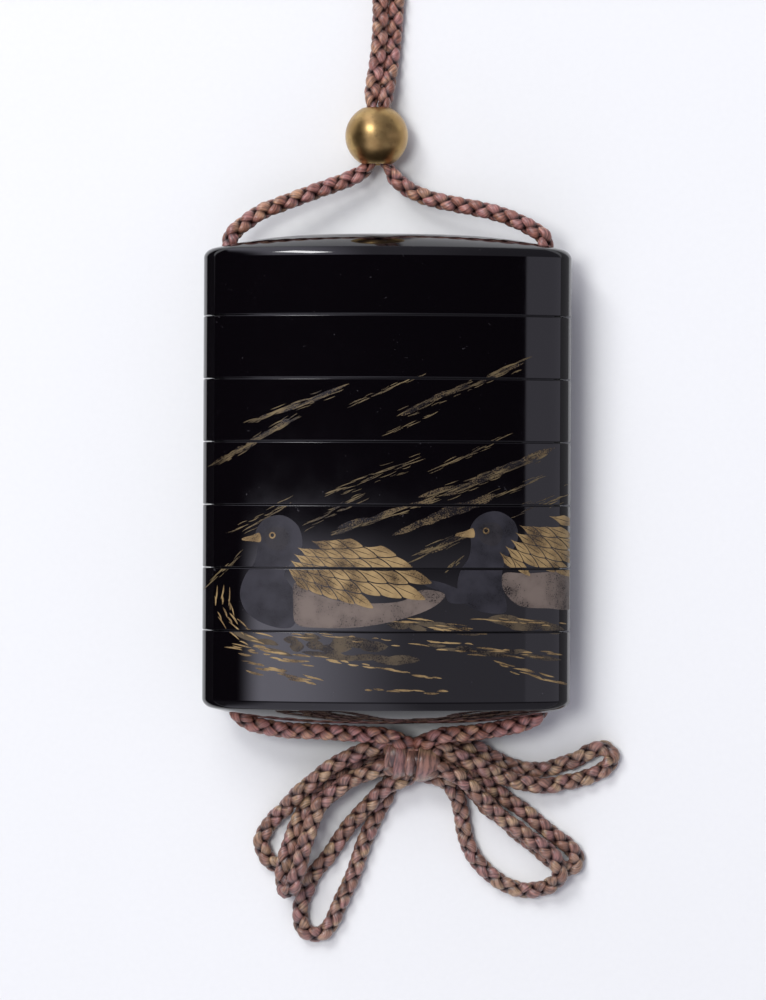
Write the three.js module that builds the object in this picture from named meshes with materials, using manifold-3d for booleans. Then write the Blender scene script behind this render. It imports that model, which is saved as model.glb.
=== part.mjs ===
// An inro: a flat lacquered case of stacked sections, strung on one silk cord with a bead.
// Millimetres. The case lies on its back: +X is its right side, +Y its lid, +Z its front.
// The origin is under the middle of the case, on the surface that it lies on.

import * as THREE from 'three';
import { mergeVertices } from 'three/addons/utils/BufferGeometryUtils.js';
import Module from 'manifold-3d';

const wasm = await Module();
wasm.setup();

// The oval of the case, seen along the stack: a shallow arc front and back, a tight one at each side.
const CASE_WIDTH = 69;
const CASE_THICKNESS = 26;
const SIDE_RADIUS = 7.5;
const REST_FLAT_DEPTH = 0.25;

// The stack, measured along Y.
const BOTTOM_HEIGHT = 14.25;
const MIDDLE_HEIGHT = 11.75;
const MIDDLE_COUNT = 5;
const LID_HEIGHT = 12.2;
const SEAM = 0.12;
const DOME_RISE = 3.3;
const SHOULDER_DROP = 1.3;

// Inside each section.
const WALL = 1.4;
const RISER_PLAY = 0.15;
const RISER_WALL = 1;
const RISER_HEIGHT = 4;
const FLOOR = 1.2;
const END_FLOOR_OFFSET = 0.2;
const HOLLOW_HALF_WIDTH = 25.4;
const HOLLOW_CORNER = 2;

// The two holes that carry the cord through the whole stack.
const CHANNEL_X = 29.5;
const CHANNEL_RADIUS = 2.2;
const CHANNEL_CORD_REACH = 44;

// The cord is 3.5 mm thick. Its solids are a little slimmer, so strands that press together stay apart.
const CORD_RADIUS = 1.6;

// The bead, and the two strands that share its hole.
const BEAD_RADIUS = 5.7;
const BEAD_HOLE_RADIUS = 2.6;
const BEAD_X = -2;
const BEAD_Y = 65;
const GAP = 0.3;

// The wrapped knot under the case.
const KNOT_LEFT = 0;
const KNOT_LENGTH = 9.5;
const KNOT_Y = -52.6;
const KNOT_Z = 5.9;
const KNOT_HALF_HEIGHT = 4.2;
const KNOT_HALF_THICKNESS = 5.2;

// How finely the round forms are divided.
const SIDE_STEPS = 12;
const FACE_STEPS = 12;
const CORNER_STEPS = 3;
const HOLLOW_FACE_STEPS = 10;
const HOLE_SIDES = 12;
const BEAD_STEPS = 10;
const BEAD_SIDES = 20;
const STRAND_STEPS = 8;
const KNOT_SIDES = 14;
const CORD_SIDES = 8;
const RUN_STEP = 5;
const CARRYING_LOOP_STEP = 9;
const BOW_STEP = 6.5;

const MIDDLE_PLANE = CASE_THICKNESS / 2 - REST_FLAT_DEPTH;
const STACK_HEIGHT = BOTTOM_HEIGHT + MIDDLE_COUNT * MIDDLE_HEIGHT + LID_HEIGHT;
const LOWER_SHOULDER = -STACK_HEIGHT / 2;
const UPPER_SHOULDER = STACK_HEIGHT / 2;

const SIDE_CENTRE = CASE_WIDTH / 2 - SIDE_RADIUS;
const SIDE_DROP = CASE_THICKNESS / 2 - SIDE_RADIUS;
const FACE_CENTRE = (SIDE_CENTRE ** 2 - SIDE_DROP ** 2) / (2 * SIDE_DROP);
const FACE_RADIUS = CASE_THICKNESS / 2 + FACE_CENTRE;
const JOIN_ANGLE = Math.atan2(FACE_CENTRE, SIDE_CENTRE);

const lacquer = new THREE.MeshStandardMaterial({ color: 0x0b0b0e, roughness: 0.15, metalness: 0 });
const bronze = new THREE.MeshStandardMaterial({ color: 0x8a6a3c, roughness: 0.35, metalness: 1 });
const silk = new THREE.MeshStandardMaterial({ color: 0x7d5648, roughness: 0.6, metalness: 0 });

// Points of an arc without its last one, which is the first of the next arc.
function arc(x, y, radius, from, to, steps) {
  const points = [];
  for (let step = 0; step < steps; step += 1) {
    const angle = from + (to - from) * step / steps;
    points.push(new THREE.Vector2(x + radius * Math.cos(angle), y + radius * Math.sin(angle)));
  }
  return points;
}

// The oval of the case moved inwards by an inset, in x and z, round the middle plane.
function oval(inset) {
  const side = SIDE_RADIUS - inset;
  const face = FACE_RADIUS - inset;
  return [
    ...arc(SIDE_CENTRE, 0, side, -JOIN_ANGLE, JOIN_ANGLE, SIDE_STEPS),
    ...arc(0, -FACE_CENTRE, face, JOIN_ANGLE, Math.PI - JOIN_ANGLE, FACE_STEPS),
    ...arc(-SIDE_CENTRE, 0, side, Math.PI - JOIN_ANGLE, Math.PI + JOIN_ANGLE, SIDE_STEPS),
    ...arc(0, FACE_CENTRE, face, Math.PI + JOIN_ANGLE, 2 * Math.PI - JOIN_ANGLE, FACE_STEPS),
  ];
}

// The outside of the case has a narrow flat along its back, which it lies on.
function outerOval() {
  return oval(0).map((point) => new THREE.Vector2(point.x, Math.max(point.y, -MIDDLE_PLANE)));
}

// The hollow of a section ends short of the cord holes and follows the faces between them.
function hollowOutline() {
  const radius = FACE_RADIUS - WALL - RISER_PLAY - RISER_WALL;
  const reach = HOLLOW_HALF_WIDTH - HOLLOW_CORNER;
  const half = Math.acos(reach / radius);
  const edge = radius * Math.sin(half) - FACE_CENTRE - HOLLOW_CORNER;
  const quarter = Math.PI / 2;
  return [
    ...arc(reach, edge, HOLLOW_CORNER, 0, quarter, CORNER_STEPS),
    ...arc(0, -FACE_CENTRE, radius, half, Math.PI - half, HOLLOW_FACE_STEPS),
    ...arc(-reach, edge, HOLLOW_CORNER, quarter, 2 * quarter, CORNER_STEPS),
    ...arc(-reach, -edge, HOLLOW_CORNER, 2 * quarter, 3 * quarter, CORNER_STEPS),
    ...arc(0, FACE_CENTRE, radius, Math.PI + half, 2 * Math.PI - half, HOLLOW_FACE_STEPS),
    ...arc(reach, -edge, HOLLOW_CORNER, 3 * quarter, 4 * quarter, CORNER_STEPS),
  ];
}

// A closed geometry as a solid that can be joined and cut.
function solid(geometry) {
  geometry.deleteAttribute('normal');
  geometry.deleteAttribute('uv');
  const merged = mergeVertices(geometry);
  const corners = [];
  for (let start = 0; start < merged.index.count; start += 3) {
    const [a, b, c] = merged.index.array.slice(start, start + 3);
    if (a !== b && b !== c && c !== a) {
      corners.push(a, b, c);
    }
  }
  return new wasm.Manifold(new wasm.Mesh({
    numProp: 3,
    vertProperties: new Float32Array(merged.attributes.position.array),
    triVerts: new Uint32Array(corners),
  }));
}

function geometryOf(body) {
  const mesh = body.getMesh();
  const geometry = new THREE.BufferGeometry();
  geometry.setAttribute('position', new THREE.BufferAttribute(mesh.vertProperties, 3));
  geometry.setIndex(new THREE.BufferAttribute(mesh.triVerts, 1));
  geometry.computeVertexNormals();
  return geometry;
}

// An outline in x and z, drawn out along y.
function prism(outline, low, high) {
  const shape = new THREE.Shape(outline);
  const geometry = new THREE.ExtrudeGeometry(shape, { depth: high - low, bevelEnabled: false });
  geometry.rotateX(Math.PI / 2);
  geometry.translate(0, high, 0);
  return solid(geometry);
}

// How far the dome stands above its shoulder, from its middle (0) to the side of the case (1).
function domeHeight(radius) {
  const roundFrom = 0.955;
  const turn = Math.max(0, (radius - roundFrom) / (1 - roundFrom));
  return DOME_RISE * (1 - radius ** 3) - SHOULDER_DROP * (1 - Math.sqrt(1 - turn * turn));
}

// A block that is flat at one end and domed at the other: turned round, then pressed to the oval.
function domedBlock(seam, shoulder, direction) {
  const radii = [0, 0.25, 0.45, 0.6, 0.72, 0.82, 0.9, 0.955, 0.985, 1];
  const dome = radii.map((radius) => new THREE.Vector2(radius, shoulder + direction * domeHeight(radius)));
  const flat = [new THREE.Vector2(1, seam), new THREE.Vector2(0, seam)];
  const profile = direction > 0 ? [...dome, ...flat].reverse() : [...dome, ...flat];
  const outline = outerOval();
  const geometry = new THREE.LatheGeometry(profile, outline.length);
  const position = geometry.attributes.position;
  for (let index = 0; index < position.count; index += 1) {
    const turn = Math.floor(index / profile.length) % outline.length;
    const edge = outline[(outline.length - turn) % outline.length];
    const point = profile[index % profile.length];
    position.setXYZ(index, point.x * edge.x, point.y, point.x * edge.y);
  }
  return solid(geometry);
}

// The lip on top of a section, which the section above slides over.
function riser(top) {
  return prism(oval(WALL + RISER_PLAY), top - 1, top + RISER_HEIGHT);
}

// The recess under a section, which takes the lip of the section below.
function recess(bottom) {
  return prism(oval(WALL), bottom - 1, bottom + RISER_HEIGHT + RISER_PLAY);
}

function drillCordHoles(body) {
  let drilled = body;
  for (const x of [-CHANNEL_X, CHANNEL_X]) {
    const hole = new THREE.CylinderGeometry(CHANNEL_RADIUS, CHANNEL_RADIUS, 2 * STACK_HEIGHT, HOLE_SIDES);
    hole.translate(x, 0, 0);
    drilled = drilled.subtract(solid(hole));
  }
  return drilled;
}

function bottomCase() {
  const top = LOWER_SHOULDER + BOTTOM_HEIGHT - SEAM;
  const hollow = prism(hollowOutline(), LOWER_SHOULDER + END_FLOOR_OFFSET, top + RISER_HEIGHT + 1);
  return domedBlock(top, LOWER_SHOULDER, -1).add(riser(top)).subtract(hollow);
}

function middleCase(bottom) {
  const top = bottom + MIDDLE_HEIGHT - SEAM;
  const floor = bottom + RISER_HEIGHT + RISER_PLAY + FLOOR;
  const hollow = prism(hollowOutline(), floor, top + RISER_HEIGHT + 1);
  const body = prism(outerOval(), bottom, top).add(riser(top));
  return body.subtract(recess(bottom)).subtract(hollow);
}

function lid() {
  const bottom = UPPER_SHOULDER - LID_HEIGHT;
  const hollow = prism(hollowOutline(), bottom, UPPER_SHOULDER - END_FLOOR_OFFSET);
  return domedBlock(bottom, UPPER_SHOULDER, 1).subtract(recess(bottom)).subtract(hollow);
}

function bead() {
  const rimAngle = Math.acos(BEAD_HOLE_RADIUS / BEAD_RADIUS);
  const profile = arc(0, 0, BEAD_RADIUS, -rimAngle, rimAngle, BEAD_STEPS);
  profile.push(new THREE.Vector2(BEAD_HOLE_RADIUS, -profile[0].y));
  profile.push(profile[0].clone());
  const geometry = new THREE.LatheGeometry(profile, BEAD_SIDES);
  geometry.translate(BEAD_X, BEAD_Y, BEAD_RADIUS);
  return geometryOf(solid(geometry));
}

// One strand pressed into its half of the bead's hole. The side is -1 for left and 1 for right.
function strandInBead(side) {
  const radius = BEAD_HOLE_RADIUS - GAP - GAP / 2;
  const rightHalf = arc(GAP / 2, 0, radius, -Math.PI / 2, Math.PI / 2, STRAND_STEPS);
  rightHalf.push(new THREE.Vector2(GAP / 2, radius));
  const leftHalf = rightHalf.map((point) => new THREE.Vector2(-point.x, point.y)).reverse();
  const outline = side > 0 ? rightHalf : leftHalf;
  const half = Math.sqrt(BEAD_RADIUS ** 2 - BEAD_HOLE_RADIUS ** 2);
  return geometryOf(prism(outline, -half, half).translate([BEAD_X, BEAD_Y, BEAD_RADIUS]));
}

// Two turns of cord wrapped round the strands: a short barrel along x with a waist between the turns.
function knot() {
  const profile = [
    [0, 0], [0.84, 0], [0.98, 0.1], [1, 0.25], [0.94, 0.42], [0.97, 0.55], [1.02, 0.75], [0.96, 0.93],
    [0.84, 1], [0, 1],
  ].map(([radius, along]) => new THREE.Vector2(radius * KNOT_HALF_HEIGHT, along * KNOT_LENGTH));
  const geometry = new THREE.LatheGeometry(profile, KNOT_SIDES);
  geometry.rotateZ(-Math.PI / 2);
  geometry.scale(1, 1, KNOT_HALF_THICKNESS / KNOT_HALF_HEIGHT);
  geometry.translate(KNOT_LEFT, KNOT_Y, KNOT_Z);
  return geometryOf(solid(geometry));
}

// The cord's section, and a tube of it along a route.
function cordAlong(route, stepLength) {
  const path = new THREE.CatmullRomCurve3(route.map((point) => new THREE.Vector3(...point)));
  const section = new THREE.Shape(arc(0, 0, CORD_RADIUS, 0, 2 * Math.PI, CORD_SIDES));
  const steps = Math.max(1, Math.round(path.getLength() / stepLength));
  return new THREE.ExtrudeGeometry(section, { steps, extrudePath: path, bevelEnabled: false });
}

// The part of the cord inside a channel is straight.
function channelRoute(x) {
  return [[x, -CHANNEL_CORD_REACH, MIDDLE_PLANE], [x, CHANNEL_CORD_REACH, MIDDLE_PLANE]];
}

// The cord's routes, as it lies. The runs join the case to the bead and to the knot.
const RUN_ROUTES = {
  top_left_run: [
    [-29.4, 45.2, 12.7], [-28.6, 47, 12.4], [-26.6, 48.6, 11.8], [-23.8, 50.1, 10.9], [-20, 51.7, 9.6],
    [-16.3, 53.2, 8.4], [-12.5, 54.7, 7.2], [-8.8, 56.1, 6.2], [-5.8, 57.5, 5.6], [-4, 58.8, 5.4],
  ],
  top_right_run: [
    [29.4, 45.2, 12.7], [28.4, 46.8, 12.4], [25.6, 48.3, 11.8], [21.5, 49.7, 10.8], [17.5, 50.8, 9.8],
    [12.8, 51.8, 8.6], [8.1, 52.9, 7.5], [4.3, 54.5, 6.5], [1.6, 56.6, 5.8], [0.1, 58.8, 5.4],
  ],
  bottom_left_run: [
    [-28.9, -45.6, 12.7], [-27.6, -46.2, 12.6], [-25.5, -46.6, 12.3], [-22.5, -47, 12],
    [-18.5, -47.3, 11.8], [-13, -47.5, 11.6], [-8, -47.8, 11.5], [-4, -48, 11.5], [-0.6, -48.2, 11.6],
  ],
  bottom_right_run: [
    [28.9, -45.6, 12.7], [27.6, -46.2, 12.6], [25.5, -46.7, 12.3], [21.5, -47.1, 12],
    [17, -47.5, 11.6], [13, -47.9, 11.5], [10.3, -48.2, 11.6],
  ],
};

// The doubled cord beyond the bead, lying on the surface and folded back on itself once.
const CARRYING_LOOP_ROUTE = [
  [-3.8, 71, 5.4], [-3.6, 74.5, 4.3], [-3.2, 79, 2.8], [-2.7, 84, 1.9], [-2, 90, 1.8],
  [-1.8, 98, 1.8], [-1.7, 110, 1.8], [-1.7, 122, 1.8], [-1.9, 132, 1.8], [-3.2, 140, 1.8],
  [-5.6, 146.5, 1.8], [-7, 153, 1.8], [-5.2, 159.5, 1.8], [0.1, 162.5, 1.8], [5.4, 159.5, 1.8],
  [7.2, 153, 1.8], [5.8, 146.5, 1.8], [3.4, 140, 1.8], [2.1, 132, 1.8], [1.9, 122, 1.8],
  [1.9, 110, 1.8], [1.8, 98, 1.8], [1.7, 90, 1.8], [1, 84, 1.9], [0.4, 79, 2.8], [0, 74.5, 4.3],
  [-0.2, 71, 5.4],
];

// The six loops of the bow. Each leaves the knot, lies on the surface or on a neighbour, and returns.
const BOW_ROUTES = {
  bow_loop_upper_left: [
    [-0.5, -50.5, 8.8], [-3.5, -51, 8.8], [-7, -52.5, 8.6], [-10.5, -54.5, 7.9], [-13.5, -57, 7.2],
    [-16.5, -59.5, 6.2], [-19, -62.5, 3.8], [-21.5, -65, 2], [-23.5, -68.5, 1.8], [-23, -71, 1.8],
    [-21.5, -73, 1.8], [-19.5, -73, 1.8], [-17.5, -71.5, 1.8], [-16, -69, 1.8], [-15, -66, 1.8],
    [-13.5, -63.5, 1.8], [-11.5, -61, 1.8], [-8.5, -58.5, 1.8], [-5.5, -56, 1.8], [-3, -54, 1.8],
    [-1.2, -52.6, 1.9],
  ],
  bow_loop_middle_left: [
    [-1, -54.6, 9.2], [-3.5, -55.5, 8.8], [-7, -57, 7.9], [-9.5, -59, 7.5], [-12, -61, 7.4],
    [-13.5, -64, 7.4], [-14.5, -67, 7.4], [-15.5, -70, 7.6], [-16, -72.5, 7.6], [-17, -75, 6.9],
    [-17.5, -77, 5.4], [-18.5, -78, 4], [-19, -77, 4], [-19.5, -74.5, 5], [-19, -72, 5.4],
    [-18, -69, 5], [-17, -66, 4.7], [-15.5, -63, 4.5], [-13.5, -60, 4.4], [-10.5, -57, 4.4],
    [-7.5, -54.5, 4.6], [-3.5, -52, 5.2], [-1, -51.2, 5.3],
  ],
  bow_loop_lower_left: [
    [-0.2, -58.4, 5.4], [-2, -60.4, 4.8], [-4.4, -63, 3.8], [-7, -66, 2.8],
    [-9, -69, 1.9], [-11, -72, 1.8], [-13.5, -75, 1.8], [-15, -78.5, 1.8], [-16, -81, 1.8],
    [-16, -83.5, 1.8], [-15.5, -85.5, 1.8], [-13.5, -86.5, 1.8], [-11.5, -86, 1.8], [-10, -84, 1.8],
    [-8.5, -80.5, 1.8], [-6, -75, 1.8], [-4, -69, 1.8], [-1.5, -63.5, 1.8], [0.3, -60, 1.8],
    [0.8, -57.6, 1.9],
  ],
  bow_loop_upper_right: [
    [10.7, -50.9, 8.8], [13, -52, 8.6], [16.5, -53.5, 8], [19.5, -55, 7], [23, -56.5, 5.8],
    [26.5, -57.5, 5], [30.5, -58, 4.2], [33.5, -57.5, 3], [36.5, -57, 2], [39.5, -56, 1.8],
    [42, -54.5, 1.8], [43, -52.5, 1.8], [41.5, -51, 1.8], [39, -51.5, 1.8], [36.5, -53, 1.8],
    [33.5, -54, 1.8], [30.5, -55, 1.8], [26.5, -55, 1.9], [23, -54, 2.5], [20, -52.5, 3.6],
    [16.5, -50.5, 4.9], [13, -49, 5.4], [10.5, -49, 5.4],
  ],
  bow_loop_middle_right: [
    [10.5, -52.5, 5.6], [13, -53.5, 5.4], [15.5, -55.5, 4.8], [18, -57, 3.9], [21, -59, 2.9],
    [23.5, -61, 2.1], [26.5, -63, 1.8], [29.5, -65.5, 1.8], [32, -67.5, 1.8], [34.5, -69.5, 1.8],
    [36, -71.5, 1.8], [35.5, -73, 1.8], [33.5, -73, 1.8], [31, -71.5, 1.8], [28, -69, 1.8],
    [25, -67, 1.8], [22.5, -64.5, 1.8], [19.5, -62.5, 1.8], [17.5, -60, 1.8], [15, -58, 1.8],
    [13, -56, 1.8], [10.5, -54.5, 1.9],
  ],
  bow_loop_lower_right: [
    [10.7, -54.8, 9.2], [12.5, -55.5, 8.9], [15, -57, 8.2], [17.5, -59.5, 7.2], [19.5, -61.5, 6],
    [22, -64, 5.3], [25, -66, 5.2], [27.5, -68, 5.2], [30.5, -70, 5.3], [32, -71.5, 5.3],
    [33, -74, 5.2], [32.5, -76, 4.2], [30, -77.5, 2.6], [26.5, -78, 1.8], [23, -77, 1.8],
    [20, -75, 1.8], [17.5, -72.5, 1.8], [16, -70, 1.8], [15, -67, 1.8], [14.5, -64, 1.9],
    [14, -61.5, 2.9], [13, -59.2, 4.2], [12, -57.8, 5.1], [11.2, -57, 5.6],
  ],
};

function named(name, geometry, material) {
  const mesh = new THREE.Mesh(geometry, material);
  mesh.name = name;
  return mesh;
}

const stack = new THREE.Group();
stack.position.z = MIDDLE_PLANE;
stack.add(named('lid', geometryOf(drillCordHoles(lid())), lacquer.clone()));
for (let number = 1; number <= MIDDLE_COUNT; number += 1) {
  const bottom = UPPER_SHOULDER - LID_HEIGHT - number * MIDDLE_HEIGHT;
  const section = geometryOf(drillCordHoles(middleCase(bottom)));
  stack.add(named(`middle_case_${number}`, section, lacquer.clone()));
}
stack.add(named('bottom_case', geometryOf(drillCordHoles(bottomCase())), lacquer.clone()));

const inro = new THREE.Group();
inro.add(stack);
inro.add(named('bead', bead(), bronze));
inro.add(named('knot', knot(), silk.clone()));
inro.add(named('cord_left_in_bead', strandInBead(-1), silk.clone()));
inro.add(named('cord_right_in_bead', strandInBead(1), silk.clone()));
inro.add(named('cord_in_left_channel', cordAlong(channelRoute(-CHANNEL_X), STACK_HEIGHT), silk.clone()));
inro.add(named('cord_in_right_channel', cordAlong(channelRoute(CHANNEL_X), STACK_HEIGHT), silk.clone()));
for (const [name, route] of Object.entries(RUN_ROUTES)) {
  inro.add(named(name, cordAlong(route, RUN_STEP), silk.clone()));
}
inro.add(named('carrying_loop', cordAlong(CARRYING_LOOP_ROUTE, CARRYING_LOOP_STEP), silk.clone()));
for (const [name, route] of Object.entries(BOW_ROUTES)) {
  inro.add(named(name, cordAlong(route, BOW_STEP), silk.clone()));
}

export default inro;
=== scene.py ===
# %% [markdown]
# # An inro with its bead, its braided cord and its bow
# An inro is a small case of stacked sections that hung from a sash. This lesson dresses its plain model:
# the camera first, then the cords, the lacquered sections, the bead, the gold picture, and last the light.
# Everything is in metres, in the frame of the plain model, so a piece is made where it belongs.

# %% Load the plain model
import math
import random

import bmesh
import bpy
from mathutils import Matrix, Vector


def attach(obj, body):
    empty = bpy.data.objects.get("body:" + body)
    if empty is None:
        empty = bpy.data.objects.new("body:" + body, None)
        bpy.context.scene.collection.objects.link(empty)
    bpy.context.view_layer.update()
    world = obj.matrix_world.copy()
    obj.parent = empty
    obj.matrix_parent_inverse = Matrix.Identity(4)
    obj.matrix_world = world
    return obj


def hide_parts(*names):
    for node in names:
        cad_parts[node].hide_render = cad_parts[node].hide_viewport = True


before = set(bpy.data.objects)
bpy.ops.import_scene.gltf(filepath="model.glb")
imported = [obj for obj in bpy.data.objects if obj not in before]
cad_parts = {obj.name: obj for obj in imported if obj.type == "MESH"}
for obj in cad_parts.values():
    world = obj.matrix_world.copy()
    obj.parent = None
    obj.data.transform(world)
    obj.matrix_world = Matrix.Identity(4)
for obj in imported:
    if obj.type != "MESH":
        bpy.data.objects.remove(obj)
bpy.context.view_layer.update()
MM = 0.001

# %% [markdown]
# ## The camera
# The case lies on its back and is seen from straight above, from far enough away that it looks almost
# flat. A long lens keeps the sides of the case hidden. The camera is a little turned, as a hand sets it.

# %% Camera
scene = bpy.context.scene
scene.view_settings.view_transform = "Standard"
camera_data = bpy.data.cameras.new("camera")
camera_data.sensor_fit = "VERTICAL"
camera_data.sensor_height = 36
camera_data.lens = 163.1
camera_data.clip_end = 10
camera = bpy.data.objects.new("camera", camera_data)
camera.location = (-0.71 * MM, -3.98 * MM, 862.75 * MM)
camera.rotation_euler = (0, 0, math.radians(0.25))
scene.collection.objects.link(camera)
scene.camera = camera
print("camera height, mm:", round(camera.location.z / MM))

# %% [markdown]
# ## The cord's route
# One silk cord strings the whole object. It leaves the knot, climbs a channel inside the left side, goes
# through the bead, makes the loop that it was carried by, and comes back down the right side into the
# knot. Its two ends make the six loops of the bow. The route is a list of points that a smooth line goes
# through, because a soft cord has no straight lengths and no corners.

# %% Route of the carrying cord, in millimetres
BOTTOM_LEFT_RUN = [
    (6.5, -51.2, 6.5), (3, -49.4, 10.4),
    (-0.6, -48.2, 11.6), (-4, -48, 11.5), (-8, -47.8, 11.5), (-13, -47.5, 11.6), (-18.5, -47.3, 11.8),
    (-22.5, -46.7, 12), (-25.2, -46, 12.3), (-27, -44.9, 12.6), (-28.1, -43.3, 12.7),
]
LEFT_CHANNEL = [(-29.3, -39.5, 12.75), (-29.5, -20, 12.75), (-29.5, 0, 12.75), (-29.5, 20, 12.75),
                (-29.5, 39.5, 12.75)]
TOP_LEFT_RUN = [
    (-29.6, 44.6, 12.7), (-28.6, 46.4, 12.4), (-26.6, 48.1, 11.8), (-23.8, 50.1, 10.9), (-20, 51.7, 9.6),
    (-16.3, 53.2, 8.4), (-12.5, 54.7, 7.2), (-8.8, 56.1, 6.2), (-5.8, 57.5, 5.6), (-4, 58.8, 5.4),
]
BEAD_LEFT = [(-3.2, 60.5, 5.6), (-3.2, 65, 5.7), (-3.2, 69.4, 5.6)]
CARRYING_LOOP = [
    (-3.2, 71.5, 5.6), (-2.9, 74.5, 5), (-2.2, 79, 3.9), (-1.7, 84, 3.4), (-1.6, 90, 3.2),
    (-1.7, 98, 2.2), (-1.7, 110, 1.8), (-1.7, 122, 1.8), (-1.9, 132, 1.8), (-3.2, 140, 1.8),
    (-5.6, 146.5, 1.8), (-7, 153, 1.8), (-5.2, 159.5, 1.8), (0.1, 162.5, 1.8), (5.4, 159.5, 1.8),
    (7.2, 153, 1.8), (5.8, 146.5, 1.8), (3.4, 140, 1.8), (2.1, 132, 1.8), (1.9, 122, 1.8),
    (1.9, 110, 1.8), (1.7, 98, 1.8), (1.4, 90, 1.8), (1, 84, 1.8), (0.5, 79, 2.4), (-0.2, 74.5, 4.2),
    (-0.7, 71.5, 5.2),
]
BEAD_RIGHT = [(-0.8, 69.4, 5.6), (-0.8, 65, 5.7), (-0.8, 60.5, 5.6)]
TOP_RIGHT_RUN = [
    (0.1, 58.8, 5.4), (1.6, 56.6, 5.8), (4.3, 54.5, 6.5), (8.1, 52.9, 7.5), (12.8, 51.8, 8.6),
    (17.5, 50.8, 9.8), (21.5, 49.7, 10.8), (25.6, 47.9, 11.8), (28.4, 46.2, 12.4), (29.5, 44.6, 12.7),
]
RIGHT_CHANNEL = [(29.5, 39.5, 12.75), (29.5, 20, 12.75), (29.5, 0, 12.75), (29.5, -20, 12.75),
                 (29.5, -39.5, 12.75)]
BOTTOM_RIGHT_RUN = [
    (29.1, -42.9, 12.7), (27.9, -44.7, 12.6), (25.5, -45.9, 12.3), (21.5, -46.8, 12), (17, -47.5, 11.6),
    (13, -47.9, 11.5), (10.3, -48.2, 11.6), (7.5, -49.4, 10.4), (4.5, -51.2, 6.5),
]
CARRYING_ROUTE = (BOTTOM_LEFT_RUN + LEFT_CHANNEL + TOP_LEFT_RUN + BEAD_LEFT + CARRYING_LOOP + BEAD_RIGHT
                  + TOP_RIGHT_RUN + RIGHT_CHANNEL + BOTTOM_RIGHT_RUN)

# %% Routes of the bow's two sides, in millimetres
UPPER_LEFT = [
    (5, -52, 6), (2.5, -50.8, 8.4), (-0.5, -50.5, 8.8), (-3.5, -51, 8.8), (-7, -52.5, 8.6),
    (-10.5, -54.5, 7.9), (-13.5, -57, 7.2), (-16.5, -59.5, 6.2), (-19, -62.5, 3.8), (-21.5, -65, 2),
    (-23.5, -68.5, 1.8), (-23, -71, 1.8), (-21.5, -73, 1.8), (-19.5, -73, 1.8), (-17.5, -71.5, 1.8),
    (-16, -69, 1.8), (-15, -66, 1.8), (-13.5, -63.5, 1.8), (-11.5, -61, 1.8), (-8.5, -58.5, 1.8),
    (-5.5, -56, 1.8), (-3, -54, 1.8), (-0.8, -52.9, 1.9), (1.8, -52.6, 2.2), (4.2, -52.7, 3.1),
    (5.9, -53, 4.7), (6, -53.4, 6.4), (4.6, -53.8, 7.9), (2, -54.2, 8.7),
]
MIDDLE_LEFT = [
    (-1, -54.6, 9.2), (-3.5, -55.5, 8.8), (-7, -57, 7.9), (-9.5, -59, 7.5), (-12, -61, 7.4),
    (-13.5, -64, 7.4), (-14.5, -67, 7.4), (-15.5, -70, 7.7), (-16, -72.5, 8), (-16.8, -75, 8),
    (-17.6, -77.2, 7.2), (-18.5, -78.1, 5.7), (-19.1, -77.1, 4.6), (-19.4, -74.8, 4.7), (-19, -72, 5.2),
    (-18, -69, 5), (-17, -66, 4.7), (-15.5, -63, 4.5), (-13.5, -60, 4.4), (-10.5, -57, 4.4),
    (-7.5, -54.5, 4.6), (-3.5, -52, 5.2), (-1, -51.2, 5.3), (1.8, -50.7, 5.4), (4.3, -51.2, 5.5),
    (6, -52.9, 5.6), (5.8, -55.1, 5.6), (4, -56.6, 5.6), (1.8, -57.4, 5.5),
]
LOWER_LEFT = [
    (-0.3, -58.6, 5.3), (-2, -60.4, 4.8), (-4.4, -63, 3.8), (-7, -66, 2.8), (-9, -69, 1.9),
    (-11, -72, 1.8), (-13.5, -75, 1.8), (-15, -78.5, 1.8), (-16, -81, 1.8), (-16, -83.5, 1.8),
    (-15.5, -85.5, 1.8), (-13.5, -86.5, 1.8), (-11.5, -86, 1.8), (-10, -84, 1.8), (-8.5, -80.5, 1.8),
    (-6, -75, 1.8), (-4, -69, 1.8), (-1.5, -63.5, 1.8), (0.3, -60, 1.8), (0.8, -57.6, 1.9),
    (2.5, -55, 3), (4.5, -53, 5),
]
UPPER_RIGHT = [
    (4.5, -53, 6), (7.5, -51.6, 8.2), (10.7, -50.9, 8.8), (13, -52, 8.6), (16.5, -53.5, 8),
    (19.5, -55, 7), (23, -56.5, 5.8), (26.5, -57.5, 5), (30.5, -58, 4.2), (33.5, -57.5, 3),
    (36.5, -57, 2), (39.5, -56, 1.8), (42, -54.5, 1.8), (43, -52.5, 1.8), (41.5, -51, 1.8),
    (39, -51.5, 1.8), (36.5, -53, 1.8), (33.5, -54, 1.8), (30.5, -55, 1.8), (26.5, -55, 1.9),
    (23, -54, 2.5), (20, -52.5, 3.6), (16.5, -50.5, 4.9), (13, -49.2, 5.4), (10.3, -49, 5.4),
    (7.6, -49.5, 5.5), (5.4, -50.7, 5.9), (4.4, -52.4, 6.7), (5.4, -53.8, 7.8), (7.8, -54.6, 8.8),
]
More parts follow.
